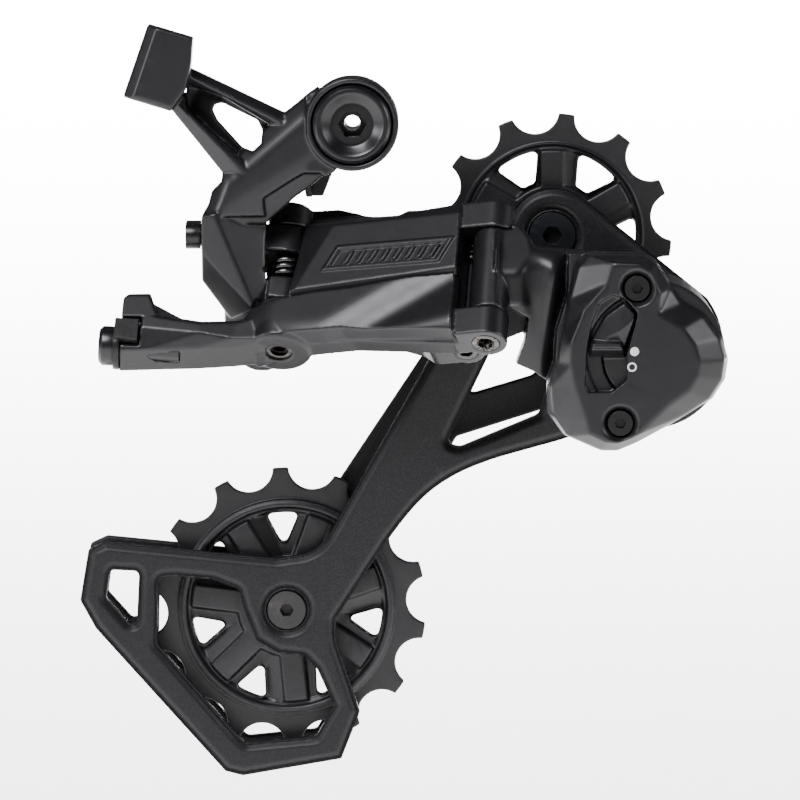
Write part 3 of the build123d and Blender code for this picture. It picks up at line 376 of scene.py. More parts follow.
def relief(base, outline, low, height):
    """Solid over an outline whose upper face follows height(x, y), an array function."""
    xs = [p[0] for p in outline]
    ys = [p[1] for p in outline]
    across = np.arange(min(xs) - RELIEF_STEP, max(xs) + 2 * RELIEF_STEP, RELIEF_STEP)
    along = np.arange(min(ys) - RELIEF_STEP, max(ys) + 2 * RELIEF_STEP, RELIEF_STEP)
    grid_x, grid_y = np.meshgrid(across, along, indexing="ij")
    levels = np.maximum(height(grid_x, grid_y), low + 0.05)
    columns, rows = grid_x.shape
    top = [base @ Vector((x, y, z)) for x, y, z in zip(grid_x.flat, grid_y.flat, levels.flat)]

    def index(i, j):
        return i * rows + j

    faces = []
    for i in range(columns - 1):
        for j in range(rows - 1):
            faces.append((index(i, j), index(i + 1, j), index(i + 1, j + 1), index(i, j + 1)))
    rim = [index(i, 0) for i in range(columns)]
    rim += [index(columns - 1, j) for j in range(1, rows)]
    rim += [index(i, rows - 1) for i in range(columns - 2, -1, -1)]
    rim += [index(0, j) for j in range(rows - 2, 0, -1)]
    start = len(top)
    foot = [base @ Vector((grid_x.flat[k], grid_y.flat[k], low)) for k in rim]
    for k in range(len(rim)):
        following = (k + 1) % len(rim)
        faces.append((rim[k], start + k, start + following, rim[following]))
    faces.append(tuple(range(start, start + len(rim))))
    block = mesh_from(top + foot, faces)
    highest = float(levels.max()) + 1
    return combine(block, [("INTERSECT", prism(base, outline, low - 1, highest))])


def combine(mesh, steps):
    """Booleans one after another: steps of (operation, mesh)."""
    target = linked("target", mesh)
    helpers = []
    for operation, tool in steps:
        helper = linked("helper", tool)
        helpers.append(helper)
        modifier = target.modifiers.new("combine", "BOOLEAN")
        modifier.operation = operation
        modifier.solver = "MANIFOLD"
        modifier.object = helper
    result = evaluated(target)
    for helper in helpers + [target]:
        bpy.data.objects.remove(helper)
    return result


def evaluated(target):
    """The object's mesh with its modifiers applied."""
    graph = bpy.context.evaluated_depsgraph_get()
    graph.update()
    return bpy.data.meshes.new_from_object(target.evaluated_get(graph))


def cad_solid(node):
    """Copy of a CAD node's mesh in millimetres, welded closed."""
    mesh = frame["nodes"][node].data.copy()
    mesh.transform(Matrix.Scale(1 / MM, 4))
    shape = bmesh.new()
    shape.from_mesh(mesh)
    bmesh.ops.remove_doubles(shape, verts=shape.verts, dist=0.001)
    bmesh.ops.dissolve_degenerate(shape, edges=shape.edges, dist=0.0005)
    shape.to_mesh(mesh)
    shape.free()
    mesh.materials.clear()
    return mesh


def coordinates(mesh):
    flat = np.empty(len(mesh.vertices) * 3)
    mesh.vertices.foreach_get("co", flat)
    return flat.reshape(-1, 3)


def set_coordinates(mesh, points):
    mesh.vertices.foreach_set("co", points.ravel())
    mesh.update()


def relax(mesh, turns):
    """Evens a dense mesh out, which rounds its edges like a casting's."""
    ends = np.empty(len(mesh.edges) * 2, dtype=np.int64)
    mesh.edges.foreach_get("vertices", ends)
    first, second = ends[0::2], ends[1::2]
    points = coordinates(mesh)
    count = np.bincount(ends, minlength=len(points)).reshape(-1, 1)
    for _ in range(turns):
        total = np.zeros_like(points)
        for axis in range(3):
            total[:, axis] = np.bincount(first, points[second, axis], len(points))
            total[:, axis] += np.bincount(second, points[first, axis], len(points))
        points += 0.5 * (total / np.maximum(count, 1) - points)
    set_coordinates(mesh, points)


def modified(mesh, kind, **settings):
    """The mesh after one modifier."""
    target = linked("target", mesh)
    modifier = target.modifiers.new("modifier", kind)
    for setting, value in settings.items():
        setattr(modifier, setting, value)
    result = evaluated(target)
    bpy.data.objects.remove(target)
    return result


def voxel_skin(mesh, size):
    """The mesh's outer skin as even small quads."""
    return modified(mesh, "REMESH", mode="VOXEL", voxel_size=size)


def thinned(mesh, ratio):
    """The mesh with this share of its faces."""
    return modified(mesh, "DECIMATE", ratio=ratio)


def place(name, mesh, body, slot, nodes=(), finish=None):
    """Links a millimetre mesh as a piece of the object, in metres."""
    mesh.transform(Matrix.Scale(MM, 4))
    mesh.materials.clear()
    mesh.materials.append(finish or SLOT_FINISH[slot])
    mesh.polygons.foreach_set("use_smooth", [True] * len(mesh.polygons))
    mesh.name = name
    piece = linked(name, mesh)
    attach(piece, body)
    if nodes:
        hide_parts(*nodes)
    return piece


def cast(name, solid, steps, body, slot, node, voxel=0.25, rounding=5, detail=None, keep=0.35):
    """Casting: booleans on a solid, then one even skin with rounded edges and a pressed detail."""
    skin = voxel_skin(combine(solid, steps), voxel)
    relax(skin, rounding)
    if detail is not None:
        detail(skin)
    place(name, thinned(skin, keep), body, slot, [node])


# Heights over a plane are array functions, and facets are their least or greatest.
def facet(start, end, on_line, rise):
    """Flat facet: on_line high from start to end, rising by rise for each millimetre to its left."""
    dx, dy = end[0] - start[0], end[1] - start[1]
    length = hypot(dx, dy)

    def height(x, y):
        left = (dx * (y - start[1]) - dy * (x - start[0])) / length
        return on_line + rise * left

    return height


def level(value):
    return lambda x, y: np.full_like(x, value)


def least(*heights):
    return lambda x, y: np.minimum.reduce([height(x, y) for height in heights])


def greatest(*heights):
    return lambda x, y: np.maximum.reduce([height(x, y) for height in heights])


def softened(height, reach):
    """The same heights averaged over a disc, which rounds the creases between facets."""
    offsets = [(0.0, 0.0)]
    for ring in (0.5, 1.0):
        offsets += [(reach * ring * cos(pi * k / 4), reach * ring * sin(pi * k / 4))
                    for k in range(8)]
    return lambda x, y: sum(height(x + dx, y + dy) for dx, dy in offsets) / len(offsets)


def line_distance(x, y, lines):
    """Distance to the nearest of some straight lines, each a pair of ends."""
    nearest = np.full_like(x, 1e9)
    for (ax, ay), (bx, by) in lines:
        dx, dy = bx - ax, by - ay
        part = np.clip(((x - ax) * dx + (y - ay) * dy) / max(dx * dx + dy * dy, 1e-9), 0, 1)
        nearest = np.minimum(nearest, np.hypot(x - ax - part * dx, y - ay - part * dy))
    return nearest


def inside(x, y, outline):
    """Signed distance to a closed outline, positive inside it."""
    within = np.zeros(x.shape, dtype=bool)
    sides = list(zip(outline, outline[1:] + outline[:1]))
    for (ax, ay), (bx, by) in sides:
        if ay != by:
            crosses = ((ay > y) != (by > y)) & (x < (bx - ax) * (y - ay) / (by - ay) + ax)
            within ^= crosses
    distance = line_distance(x, y, sides)
    return np.where(within, distance, -distance)


def soft_step(value, low, high):
    t = np.clip((value - low) / (high - low), 0, 1)
    return t * t * (3 - 2 * t)


def pressed(base, shape, reach, facing=0.35):
    """Detail: moves the skin along a plane's normal by shape(x, y), where it faces that way."""
    back = np.array(base.inverted())
    normal = np.array(base.col[2][:3])

    def detail(skin):
        points = coordinates(skin)
        directions = np.empty(len(skin.vertices) * 3)
        skin.vertices.foreach_get("normal", directions)
        turned = directions.reshape(-1, 3) @ normal
        local = points @ back[:3, :3].T + back[:3, 3]
        weight = soft_step(turned, facing - 0.2, facing + 0.1)
        weight *= (local[:, 2] > reach[0]) & (local[:, 2] < reach[1])
        points += np.outer(weight * shape(local[:, 0], local[:, 1]), normal)
        set_coordinates(skin, points)

    return detail


# ---------------------------------------------------------------- the part's own planes
SLANT = radians(38.0)
LEAN = radians(5.0)
LINK_ANGLE = radians(-15.9)
LINK_LENGTH = 43.4
INNER_OFFSET = (-4.2, 9.5)            # from an outer pin to the inner pin beside it
PIN_BORE = 2.35
EAR_LEVELS = ((-5, 10.0), (28.3, 34.4))      # along the rear outer pin, swept by the link's ears
SPRING_LEVELS = (15.8, 21.5)                 # swept by its return spring
OUTER_REAR = Vector((-14.7, -17.0, -45.6))
pin_direction = Vector((sin(LEAN) * cos(SLANT), sin(SLANT), cos(LEAN) * cos(SLANT))).normalized()
across_x = (Vector((1, 0, 0)) - pin_direction * pin_direction.x).normalized()
link_plane = plane(OUTER_REAR, across_x, pin_direction)
link_along = Matrix.Rotation(LINK_ANGLE, 3, pin_direction) @ across_x
link_outboard = link_along.cross(pin_direction)
outer_blade = plane(OUTER_REAR, link_along, link_outboard)
front_outer = shifted(link_plane, LINK_LENGTH * cos(LINK_ANGLE), LINK_LENGTH * sin(LINK_ANGLE))
rear_inner = shifted(link_plane, *INNER_OFFSET)
front_inner = shifted(front_outer, *INNER_OFFSET)
inner_blade = plane(rear_inner.translation, link_along, link_outboard)
outboard_plane = plane((0, 0, 0), (1, 0, 0), (0, -1, 0))      # x is X, y is Z and the height is -Y
inboard_plane = plane((0, 0, 0), (1, 0, 0), (0, 1, 0))


# ---------------------------------------------------------------- B-knuckle
STOP_TILT = radians(18)


def b_knuckle():
    neck = [(-26.2, -9.9), (-19.0, -2.4), (-7.0, 7.4), (0, 0), (-3.4, -9.6), (-8.5, -9.2),
            (-12.0, -11.2), (-18.0, -15.0), (-17.6, -18.6), (-30.4, -18.8), (-29.1, -16.6),
            (-28.4, -13.8), (-26.4, -11.8)]
    neck_height = least(
        level(13.8),
        facet((-26.2, -9.9), (-8.0, 5.6), 12.0, -0.8),
        facet((-26.1, -18.3), (-12.0, -9.7), 13.6, 0.18),
        facet((-30.4, -19.2), (-28.4, -13.8), 11.0, -1.1),
    )
    scoop = [(-26.1, -18.3), (-18.6, -13.3), (-12.0, -9.7), (-8.5, -9.0), (-4.5, -9.2),
             (-8.0, -12.4), (-11.5, -14.9), (-17.6, -20.4), (-26.1, -20.0)]
    scoop_height = least(level(12.6), facet((-26.1, -18.3), (-12.0, -9.7), 13.0, 0.45))
    block = [(-30.4, -18.6), (-26.1, -17.6), (-17.6, -19.6), (-17.4, -36.0), (-24.6, -39.6),
             (-30.4, -31.8)]
    block_height = least(
        facet((-27.1, -19.9), (-20.8, -34.6), 14.0, -0.62),
        facet((-20.8, -34.6), (-27.1, -19.9), 14.0, -0.24),
        facet((-30.4, -30.0), (-24.4, -38.0), 10.5, 0.9),
    )
    stop = [(-31.9, 17.4), (-41.0, 20.1), (-46.0, 5.6), (-36.4, 2.7), (-33.4, 7.0), (-32.2, 12.4)]
    stop_height = least(level(18.2), facet((-39.1, 19.6), (-43.7, 6.1), 18.1, 0.9),
                        facet((-36.0, 2.6), (-46, 5.6), 17.4, -1.2))
    upper_arm = [(-34.4, 11.6), (-32.1, 10.9), (-13.4, 2.0), (-8.4, 6.6), (-8.0, -2.0),
                 (-16.2, -0.6), (-18.8, 1.0), (-27.1, 6.0), (-34.4, 8.2)]
    upper_height = least(level(12.4), facet((-32.1, 10.0), (-13.4, 1.2), 11.6, -0.9),
                         facet((-27.1, 6.6), (-16.6, 1.0), 12.2, 1.1))
    lower_arm = [(-36.4, 2.8), (-41.0, 4.4), (-34.6, 9.4), (-33.2, 2.8), (-29.6, -0.9),
                 (-22.6, -6.9), (-20.4, -8.6), (-24.6, -12.4), (-26.2, -9.9)]
    lower_height = least(level(13.8), facet((-35.2, 3.0), (-24.6, -9.9), 12.6, 0.7),
                         facet((-33.6, 2.4), (-22.4, -7.6), 13.4, -1.0))
    pocket_wall = [(-33.6, 9.0), (-27.1, 6.2), (-16.6, 0.7), (-15.6, -1.3), (-17.0, -4.0),
                   (-20.6, -7.8), (-23.0, -7.2), (-29.2, -1.3), (-33.4, 2.7)]
    window = [(-28.2, 2.6), (-27.7, 3.7), (-26.2, 4.0), (-19.1, 0.5), (-18.2, -1.5), (-18.4, -4.2),
              (-20.2, -5.8), (-22.2, -5.0), (-27.2, 0.5)]
    pocket_height = greatest(
        lambda x, y: 6.6 + 1.25 * np.maximum(-inside(x, y, pocket_wall), 0.0),
        lambda x, y: 8.2 - 0.35 * np.maximum(-inside(x, y, window), 0.0),
    )
    front = [
        relief(outboard_plane, neck, 5.8, softened(neck_height, 1.4)),
        relief(outboard_plane, scoop, 5.8, softened(scoop_height, 1.4)),
        relief(outboard_plane, block, 6.0, block_height),
        relief(outboard_plane, stop, 9.0, stop_height),
        relief(outboard_plane, upper_arm, 6.6, upper_height),
        relief(outboard_plane, lower_arm, 6.6, lower_height),
        relief(outboard_plane, pocket_wall, 5.6, pocket_height),
    ]
    arms_front = [(-50, -9.9), (-9.2, -9.9), (-9.2, 24), (-50, 24)]
    block_front = [(-40, -33.0), (-24, -40), (-17.4, -36.4), (-15.5, -21.0), (-6.0, -12.0),
                   (-6.0, -9.9), (-40, -9.9)]
    steps = [("DIFFERENCE", prism(outboard_plane, arms_front, 6.0, 30)),
             ("DIFFERENCE", prism(outboard_plane, block_front, 9.0, 30))]
    steps += [("UNION", part) for part in front]
    stop_axis = plane((-36.1, -13.6, 19.0), (1, 0, -tan(STOP_TILT)),
                      (-sin(STOP_TILT), 0, -cos(STOP_TILT)))
    swing = [(-5.3, -5.0), (-3.0, -5.5), (0.8, -7.6), (60, -27.0), (60, 60), (-5.3, 60)]
    cuts = [
        prism(outboard_plane, window, -5, 30),
        *[prism(link_plane, swing, *levels)
          for levels in (EAR_LEVELS[0], SPRING_LEVELS, EAR_LEVELS[1])],
        rod(link_plane, -20, EAR_LEVELS[0][1], 6.6),
        rod(link_plane, *SPRING_LEVELS, 6.4),
        rod(rear_inner, SPRING_LEVELS[0], 60, 4.7),
        rod(inboard_plane, -20, -14.6, 8.2),
        rod(inboard_plane, -20, 1, 7.05),
        rod(link_plane, -1, 35, PIN_BORE),
        rod(rear_inner, -1, 35, PIN_BORE),
        rod(stop_axis, -3, 11, 2.6),
    ]
    steps += [("DIFFERENCE", cut) for cut in cuts]
    cast("b_knuckle_casting", cad_solid("b_knuckle"), steps, "b_knuckle", "b_casting", "b_knuckle")


# ---------------------------------------------------------------- outer link
def outer_link():
    arm_plane = plane(OUTER_REAR, across_x, across_x.cross(pin_direction))
    panel = [(4.3, 27.8), (5.4, 33.5), (10.0, 33.4), (14.5, 31.9), (19.6, 29.2), (28.6, 28.0),
             (37.6, 28.8), (37.6, 11.6), (26.0, 10.6), (9.2, 9.4), (2.4, 9.4), (2.5, 11.2),
             (3.4, 18.0)]
    panel_height = least(
        level(5.6),
        facet((5.2, 11.0), (11.2, 23.5), 5.6, -0.28),
        facet((37.0, 24.6), (4.0, 24.6), 5.6, 0.30),
        lambda x, y: 5.2 - 1.06 * np.maximum(y - 26.3, 0) * (1 - soft_step(x, 23.5, 28.0)),
        facet((2.4, 11.4), (37.6, 13.0), 5.5, 0.95),
    )
    body = [(-7.6, 0.6), (-7.4, 4.6), (-5.2, 6.8), (-2.0, 7.8), (2.0, 8.6), (8.3, 9.2), (16.1, 9.3),
            (26.5, 10.5), (37.4, 11.3), (37.6, -2.4), (21.9, -0.5), (14.5, 0.2), (10.4, 0.0),
            (2.5, 0.2), (-2.3, 0.2)]

    def bulge(x, y):
        rear, tip = np.maximum(7 - x, 0), np.maximum(-6.2 - x, 0)
        return 7.5 - 0.03 * (y - 6.0) ** 2 - 0.011 * rear ** 2 - 0.9 * tip

    body_height = least(
        bulge,
        greatest(facet((18.7, -0.6), (32.8, 7.6), 5.0, 0.34),
                 facet((32.8, 7.6), (18.7, -0.6), 5.0, 0.15)),
        level(6.7),
    )
    arm_sections = []
    for u, top, crease, low, reach in (
        (-32.0, 8.0, 0.7, -4.7, 5.0),
        (-27.0, 5.0, 0.7, -4.2, 5.0),
        (-16.0, 3.7, 0.2, -3.1, 5.0),
        (-9.0, 4.6, -0.5, -2.1, 4.6),
        (0.0, 8.0, 0.2, -0.4, 4.6),
    ):
        arm_sections.append([(u, top, reach - 1.2), (u, top - 1.4, reach), (u, crease, reach),
                             (u, low + 0.9, reach - 2.2), (u, low, -3.4), (u, low + 1.0, -4.4),
                             (u, top, -4.4)])
    arm = [hull(first + second, arm_plane) for first, second in zip(arm_sections, arm_sections[1:])]
    hook_outline = [(-32.0, 3.0), (-32.0, 8.0), (-31.0, 9.1), (-26.6, 9.5), (-24.6, 4.0)]
    hook_face = [(-32.0, 3.0), (-32.0, 7.2), (-31.2, 8.2), (-26.8, 8.5), (-24.9, 4.0)]
    hook = hull(at_heights(hook_outline, -4.4, 4.2) + at_heights(hook_face, 5.0), arm_plane)
    gusset = hull([(-27.0, 3.0, -4.0), (-26.4, 9.0, -3.0), (-16.0, 3.6, -3.0), (-27.0, 3.0, 2.4),
                   (-26.4, 8.8, 2.0), (-16.4, 3.4, 2.0)], arm_plane)
    front_cut = prism(outer_blade, [(-7.5, -8), (37.8, -8), (37.8, 36), (-7.5, 36)], 1.2, 14)
    arm_cut = prism(arm_plane, [(-40, -9), (-4.5, -9), (-4.5, 12), (-40, 12)], -9, 9)
    steps = [("DIFFERENCE", front_cut), ("DIFFERENCE", arm_cut)]
    lower_ear = [(6.0, -0.5), (6.6, 0.1), (6.6, 3.2), (5.6, 5.0), (5.2, 10.0), (0.5, 10.0)]
    adds = [
        relief(outer_blade, panel, -1.0, panel_height),
        relief(outer_blade, body, -1.0, softened(body_height, 2.0)),
        *arm,
        hook,
        gusset,
        lathe(link_plane, lower_ear),
        rod(link_plane, 28.3, 33.6, 4.6),
    ]
    steps += [("UNION", add) for add in adds]
    anchor = plane(link_plane @ Vector((-32.0, 0.0, -1.0)), pin_direction, -across_x)
    cuts = [
        rod(link_plane, 10.0, 28.3, 4.8),
        rod(front_outer, 3.3, 22.8, 4.5),
        rod(link_plane, -10, 40, 2.3),
        rod(link_plane, -10, 0.8, 2.7),
        rod(front_outer, -10, 40, 2.3),
        rod(front_outer, -10, -2.3, 2.7),
        rod(anchor, -12, 0.5, 2.5),
        prism(arm_plane, [(-34, -2.6), (-28, -2.6), (-27.8, 3.4), (-34, 3.0)], 2.8, 8),
    ]
    steps += [("DIFFERENCE", cut) for cut in cuts]

    badge = [(9.4, 15.0), (12.2, 20.6), (36.6, 20.0), (33.8, 14.4)]

    def badge_relief(x, y):
        depth = inside(x, y, badge)
        rim = soft_step(depth, -0.25, 0.05) * (1 - soft_step(depth, 0.75, 1.0))
        floor_part = soft_step(depth, 0.75, 1.05)
        lean = x - 0.5 * (y - 15.0)
        bar = soft_step(np.abs((lean - 12.0) % 2.6 - 1.3), 0.45, 0.62)
        ends = soft_step(33.0 - lean, 0.0, 0.4) * soft_step(lean - 12.0, 0.0, 0.4)
        ribs = soft_step(depth, 1.3, 1.6) * ends * (1 - bar)
        return 0.35 * rim - 0.35 * floor_part + 0.55 * ribs

    cast("outer_link_casting", cad_solid("outer_link"), steps, "outer_link", "outer_casting",
         "outer_link", voxel=0.22, detail=pressed(outer_blade, badge_relief, (3.5, 7.0)), keep=1.0)


# ---------------------------------------------------------------- P-knuckle
CAGE_PIVOT = (59.8, -45.6)


def p_knuckle():
    arm = [(30.0, -20.8), (34.4, -21.0), (37.0, -24.8), (43.4, -25.4), (47.0, -26.0), (46.0, -40.0),
           (44.0, -52.0), (40.0, -52.0), (36.5, -49.5), (33.0, -48.0), (34.6, -43.6), (35.4, -38.4),
           (31.4, -36.0), (30.0, -35.6)]

    def barrel_side(x, y):
        """Plane just behind the barrel's outboard side, which leans back as the pins do."""
        return 23.4 - 0.78 * (y + 29.0)

    def neck(x, y):
        """Hollow between the barrel and the drum."""
        across = np.clip((x - 33.5) / 7.5, 0, 1)
        return 21.6 + 2.4 * (2 * across - 1) ** 2 - 0.12 * np.maximum(-34.0 - y, 0)

    arm_height = least(
        level(23.6),
        neck,
        barrel_side,
        facet((33.0, -26.4), (44.0, -28.4), 23.0, -1.3),
        facet((42.0, -28.0), (38.2, -50.0), 22.4, -2.8),
        facet((30.0, -42.6), (38.0, -49.0), 19.5, 0.5),
    )
    block = [(29.4, -19.6), (33.4, -20.0), (35.6, -22.4), (36.6, -30.0), (35.8, -35.6),
             (29.4, -35.8)]
    block_height = least(level(23.6), barrel_side, facet((33.4, -19.0), (34.2, -36.0), 23.4, -0.9))
    front = [(29.0, -18), (39.5, -18), (43.5, -26), (43.2, -34), (41.0, -41.0), (40.8, -47.0),
             (39.0, -52.0), (29.0, -53.0)]
    steps = [("DIFFERENCE", prism(outboard_plane, front, 15.0, 30)),
             ("UNION", relief(outboard_plane, arm, 9.0, softened(arm_height, 2.0))),
             ("UNION", relief(outboard_plane, block, 12.0, softened(block_height, 1.0)))]
    for base, reach, bands in (
        (front_outer, 4.8, ((-8, 3.6), (22.5, 42))),
        (front_inner, 4.5, ((-8, 5.4), (20.0, 42))),
    ):
        steps += [("DIFFERENCE", rod(base, low, high, reach)) for low, high in bands]
    steps.append(("UNION", rod(front_outer, 3.6, 22.5, 3.9)))
    steps += [("DIFFERENCE", rod(pin, -10, 42, PIN_BORE)) for pin in (front_outer, front_inner)]
    cast("p_knuckle_casting", cad_solid("p_knuckle"), steps, "p_knuckle", "p_casting", "p_knuckle")


# ---------------------------------------------------------------- inner link
def inner_link():
    scoop = [(3.9, -1.0), (38.4, -1.0), (34.0, 2.8), (26.0, 6.2), (16.0, 8.0), (4.6, 8.2)]
    steps = [("DIFFERENCE", prism(inner_blade, scoop, -4.5, 3.0))]
    cast("inner_link_casting", cad_solid("inner_link"), steps, "inner_link", "inner_casting",
         "inner_link", rounding=4)


# ---------------------------------------------------------------- link pins
def link_pin(node, base, start, body, bore):
    """Pin with its drilled lower end, which has a hexagonal mouth on the inner link."""
    mouth = rod(base, start - 1, start + 0.9, bore, 6 if body == "inner_link" else 32)
    drilled = rod(base, start - 1, start + 3.0, bore * 0.8, 32)
    skin = combine(cad_solid(node), [("DIFFERENCE", mouth), ("DIFFERENCE", drilled)])
    sharp_edges(place(node + "_turned", skin, body, "pin_steel", [node]), 0.15)


def sharp_edges(piece, width):
    """Small rounded edges on a turned or milled piece, with its flats kept flat."""
    round_edges(piece, width, 28)
    piece.modifiers.new("shading", "WEIGHTED_NORMAL")


# ---------------------------------------------------------------- clutch cover and lever
COVER_FACE = 31.0
COVER_SEAT = 24.0
COVER_RINGS = ((COVER_SEAT, 0.0), (27.2, 0.15), (COVER_FACE, 1.0))
COVER_SCREWS = ((56.9, -31.9), (53.6, -58.9))
COVER_BACK = [(46.4, -25.2), (58.4, -25.4), (60.8, -26.8), (64.0, -31.8), (66.6, -35.0),
              (70.8, -37.4), (74.2, -42.0), (75.4, -46.6), (74.8, -50.6), (72.2, -54.6),
              (67.0, -58.0), (57.0, -63.4), (53.2, -65.0), (49.8, -65.0), (42.4, -61.8),
              (39.2, -57.4), (39.0, -52.0), (40.8, -47.0), (42.0, -41.0), (43.0, -34.0),
              (44.2, -27.4)]
COVER_FRONT = [(52.4, -26.8), (57.6, -27.0), (59.4, -28.6), (61.6, -33.0), (61.2, -36.9),
               (66.1, -39.8), (68.4, -43.0), (69.4, -46.6), (69.0, -49.7), (67.3, -52.5),
               (63.3, -55.3), (57.4, -61.0), (53.0, -62.8), (50.8, -62.6), (47.4, -61.0),
               (46.8, -58.4), (44.6, -51.8), (43.7, -47.2), (43.7, -42.8), (46.4, -36.2),
               (51.2, -30.8)]
LEVER_CAVITY = 11.0
CAVITY_ROOF = 28.4
cage_face = plane((CAGE_PIVOT[0], 0, CAGE_PIVOT[1]), (1, 0, 0), (0, -1, 0))


def sector(radii, angles, low, high):
    """Annular sector about the cage pivot, with angles from +X towards +Z."""
    turns = [radians(angles[0] + (angles[1] - angles[0]) * i / 24) for i in range(25)]
    outline = [(radii[1] * cos(t), radii[1] * sin(t)) for t in turns]
    outline += [(radii[0] * cos(t), radii[0] * sin(t)) for t in reversed(turns)]
    return prism(cage_face, outline, low, high)


def clutch_cover():
    count = len(COVER_BACK)
    vertices, faces = [], [tuple(range(count)), tuple(range(2 * count, 3 * count))]
    for height, inset in COVER_RINGS:
        for back, front in zip(COVER_BACK, COVER_FRONT):
            x = back[0] + inset * (front[0] - back[0])
            y = back[1] + inset * (front[1] - back[1])
            vertices.append(outboard_plane @ Vector((x, y, height)))
    for low, high in ((0, count), (count, 2 * count)):
        for i in range(count):
            j = (i + 1) % count
            faces.append((low + i, low + j, high + j, high + i))
    blank = voxel_skin(mesh_from(vertices, faces), 0.25)
    relax(blank, 9)
    recess = [(-2.9, 9.0), (-5.3, 11.6), (-7.8, 12.4), (-10.3, 10.9), (-12.1, 6.5), (-13.0, 1.0),
              (-13.3, -5.8), (-12.6, -7.2), (-8.0, -7.2), (-4.8, -4.6), (-4.8, 0.6), (-2.9, 7.8)]
    cuts = [
        prism(cage_face, recess, 29.3, 40.0),
        combine(prism(cage_face, recess, CAVITY_ROOF, 40.0),
                [("INTERSECT", rod(cage_face, 20, 41, 12.95))]),
        rod(cage_face, 20, 26.6, LEVER_CAVITY),
        rod(cage_face, 20, CAVITY_ROOF, LEVER_CAVITY - 1.1),
        rod(cage_face, 20, CAVITY_ROOF + 1.4, 2.55),
        prism(outboard_plane, [(30, -80), (90, -80), (90, -10), (30, -10)], 20.0, COVER_SEAT),
    ]
    for screw in COVER_SCREWS:
        base = shifted(outboard_plane, *screw)
        cuts += [rod(base, 28.6, 40, 2.8), rod(base, 20, 40, 1.6)]
        cuts.append(lathe(base, [(2.8, 29.9), (4.1, 31.4), (4.1, 35), (2.8, 35)]))
    cast("clutch_cover_casting", blank, [("DIFFERENCE", cut) for cut in cuts], "p_knuckle",
         "clutch_cover", "clutch_cover", voxel=0.2, rounding=3)
    dot = lathe(shifted(outboard_plane, 56.4, -44.5), [(0.9, 30.6), (0.9, 31.0), (0.8, 31.04)], 48)
    ring_plane = shifted(outboard_plane, 55.9, -47.6)
    ring = combine(lathe(ring_plane, [(0.95, 30.6), (0.95, 31.0), (0.85, 31.04)], 48),
                   [("DIFFERENCE", rod(ring_plane, 30, 32, 0.6, 48))])
    place("lever_mark_dot", dot, "p_knuckle", "clutch_cover", finish=white_paint)
    place("lever_mark_ring", ring, "p_knuckle", "clutch_cover", finish=white_paint)


def clutch_lever():
    shield_foot = [(-12.5, 1.2), (-12.0, 3.6), (-9.4, 8.2), (-5.6, 11.0), (-3.2, 8.6), (-3.3, 7.4),
                   (-5.2, 1.2)]
    shield_top = [(-12.1, 1.6, 29.2), (-11.7, 3.8, 29.3), (-8.9, 8.2, 29.8), (-5.5, 10.6, 30.2),
                  (-3.5, 8.5, 30.8), (-3.6, 7.4, 30.9), (-5.4, 1.6, 29.6), (-6.6, 5.0, 30.9)]
    grip_foot = [(-12.5, -0.4), (-12.3, 3.4), (-5.6, 3.4), (-5.2, -0.2)]
    grip_top = [(-12.0, 1.4), (-11.9, 2.9), (-6.2, 2.9), (-5.8, 1.4)]
    spine_foot = [(-12.4, 1.0), (-12.3, 3.0), (-5.8, 3.0), (-5.6, 1.0)]
    spine_top = [(-11.8, 1.9), (-11.7, 2.7), (-6.4, 2.7), (-6.2, 1.9)]
    shield = hull(at_heights(shield_foot, 28.2) + shield_top, cage_face)
    grip = hull(at_heights(grip_foot, 28.2) + at_heights(grip_top, 31.2), cage_face)
    spine = hull(at_heights(spine_foot, 28.2) + at_heights(spine_top, 31.9), cage_face)
    disc = lathe(cage_face, [(10.2, 24.6), (10.7, 25.1), (10.7, 26.0), (9.6, 26.3), (9.6, 28.0),
                             (2.5, 28.0), (2.5, 29.6)])
    hub = sector((5.9, 9.6), (124.0, 179.0), 27.0, 28.9)
    steps = [("UNION", piece) for piece in (shield, grip, spine, hub)]
    cast("clutch_lever_casting", disc, steps, "clutch_lever", "clutch_lever", "clutch_lever",
         voxel=0.16, rounding=4)


# ---------------------------------------------------------------- mounting bolt
BOLT_KEY = 5.0                        # across the flats


def mounting_bolt():
    profile = [(5.0, -9.0), (5.0, 0.0), (5.6, 0.0), (5.6, 1.2), (6.0, 1.2), (6.0, 14.9),
               (7.3, 14.9), (7.9, 15.4), (7.9, 16.2), (7.2, 17.0), (6.4, 17.0), (5.9, 16.7),
               (4.9, 15.9), (4.3, 15.7), (4.3, 14.8)]
    cuts = [rod(outboard_plane, 9.5, 15.2, BOLT_KEY / sqrt(3), 6),
            rod(outboard_plane, -12, 20, 1.6)]
    skin = combine(lathe(outboard_plane, profile), [("DIFFERENCE", cut) for cut in cuts])
    piece = place("mounting_bolt_turned", skin, "hanger_mount", "mounting_bolt", ["mounting_bolt"])
    sharp_edges(piece, 0.12)


# ---------------------------------------------------------------- cage plates and pulleys
PLATE_OUTER_FACE = 5.2
PLATE_INNER_FACE = 20.4
PULLEY_MIDDLE = 13.0
UPPER_PULLEY = (40.7, -23.7)
LOWER_PULLEY = (-13.6, -100.6)


def rim_lines(mesh, base, height):
    """The edges of the mesh's flat face at a height over the plane, as pairs of points in it."""
    back = np.array(base.inverted())
    local = coordinates(mesh) @ back[:3, :3].T + back[:3, 3]
    count = {}
    for face in mesh.polygons:
        loop = list(face.vertices)
        if all(abs(local[k][2] - height) < 0.01 for k in loop):
            for a, b in zip(loop, loop[1:] + loop[:1]):
                key = (min(a, b), max(a, b))
                count[key] = count.get(key, 0) + 1
    return [(tuple(local[a][:2]), tuple(local[b][:2]))
            for (a, b), uses in count.items() if uses == 1]


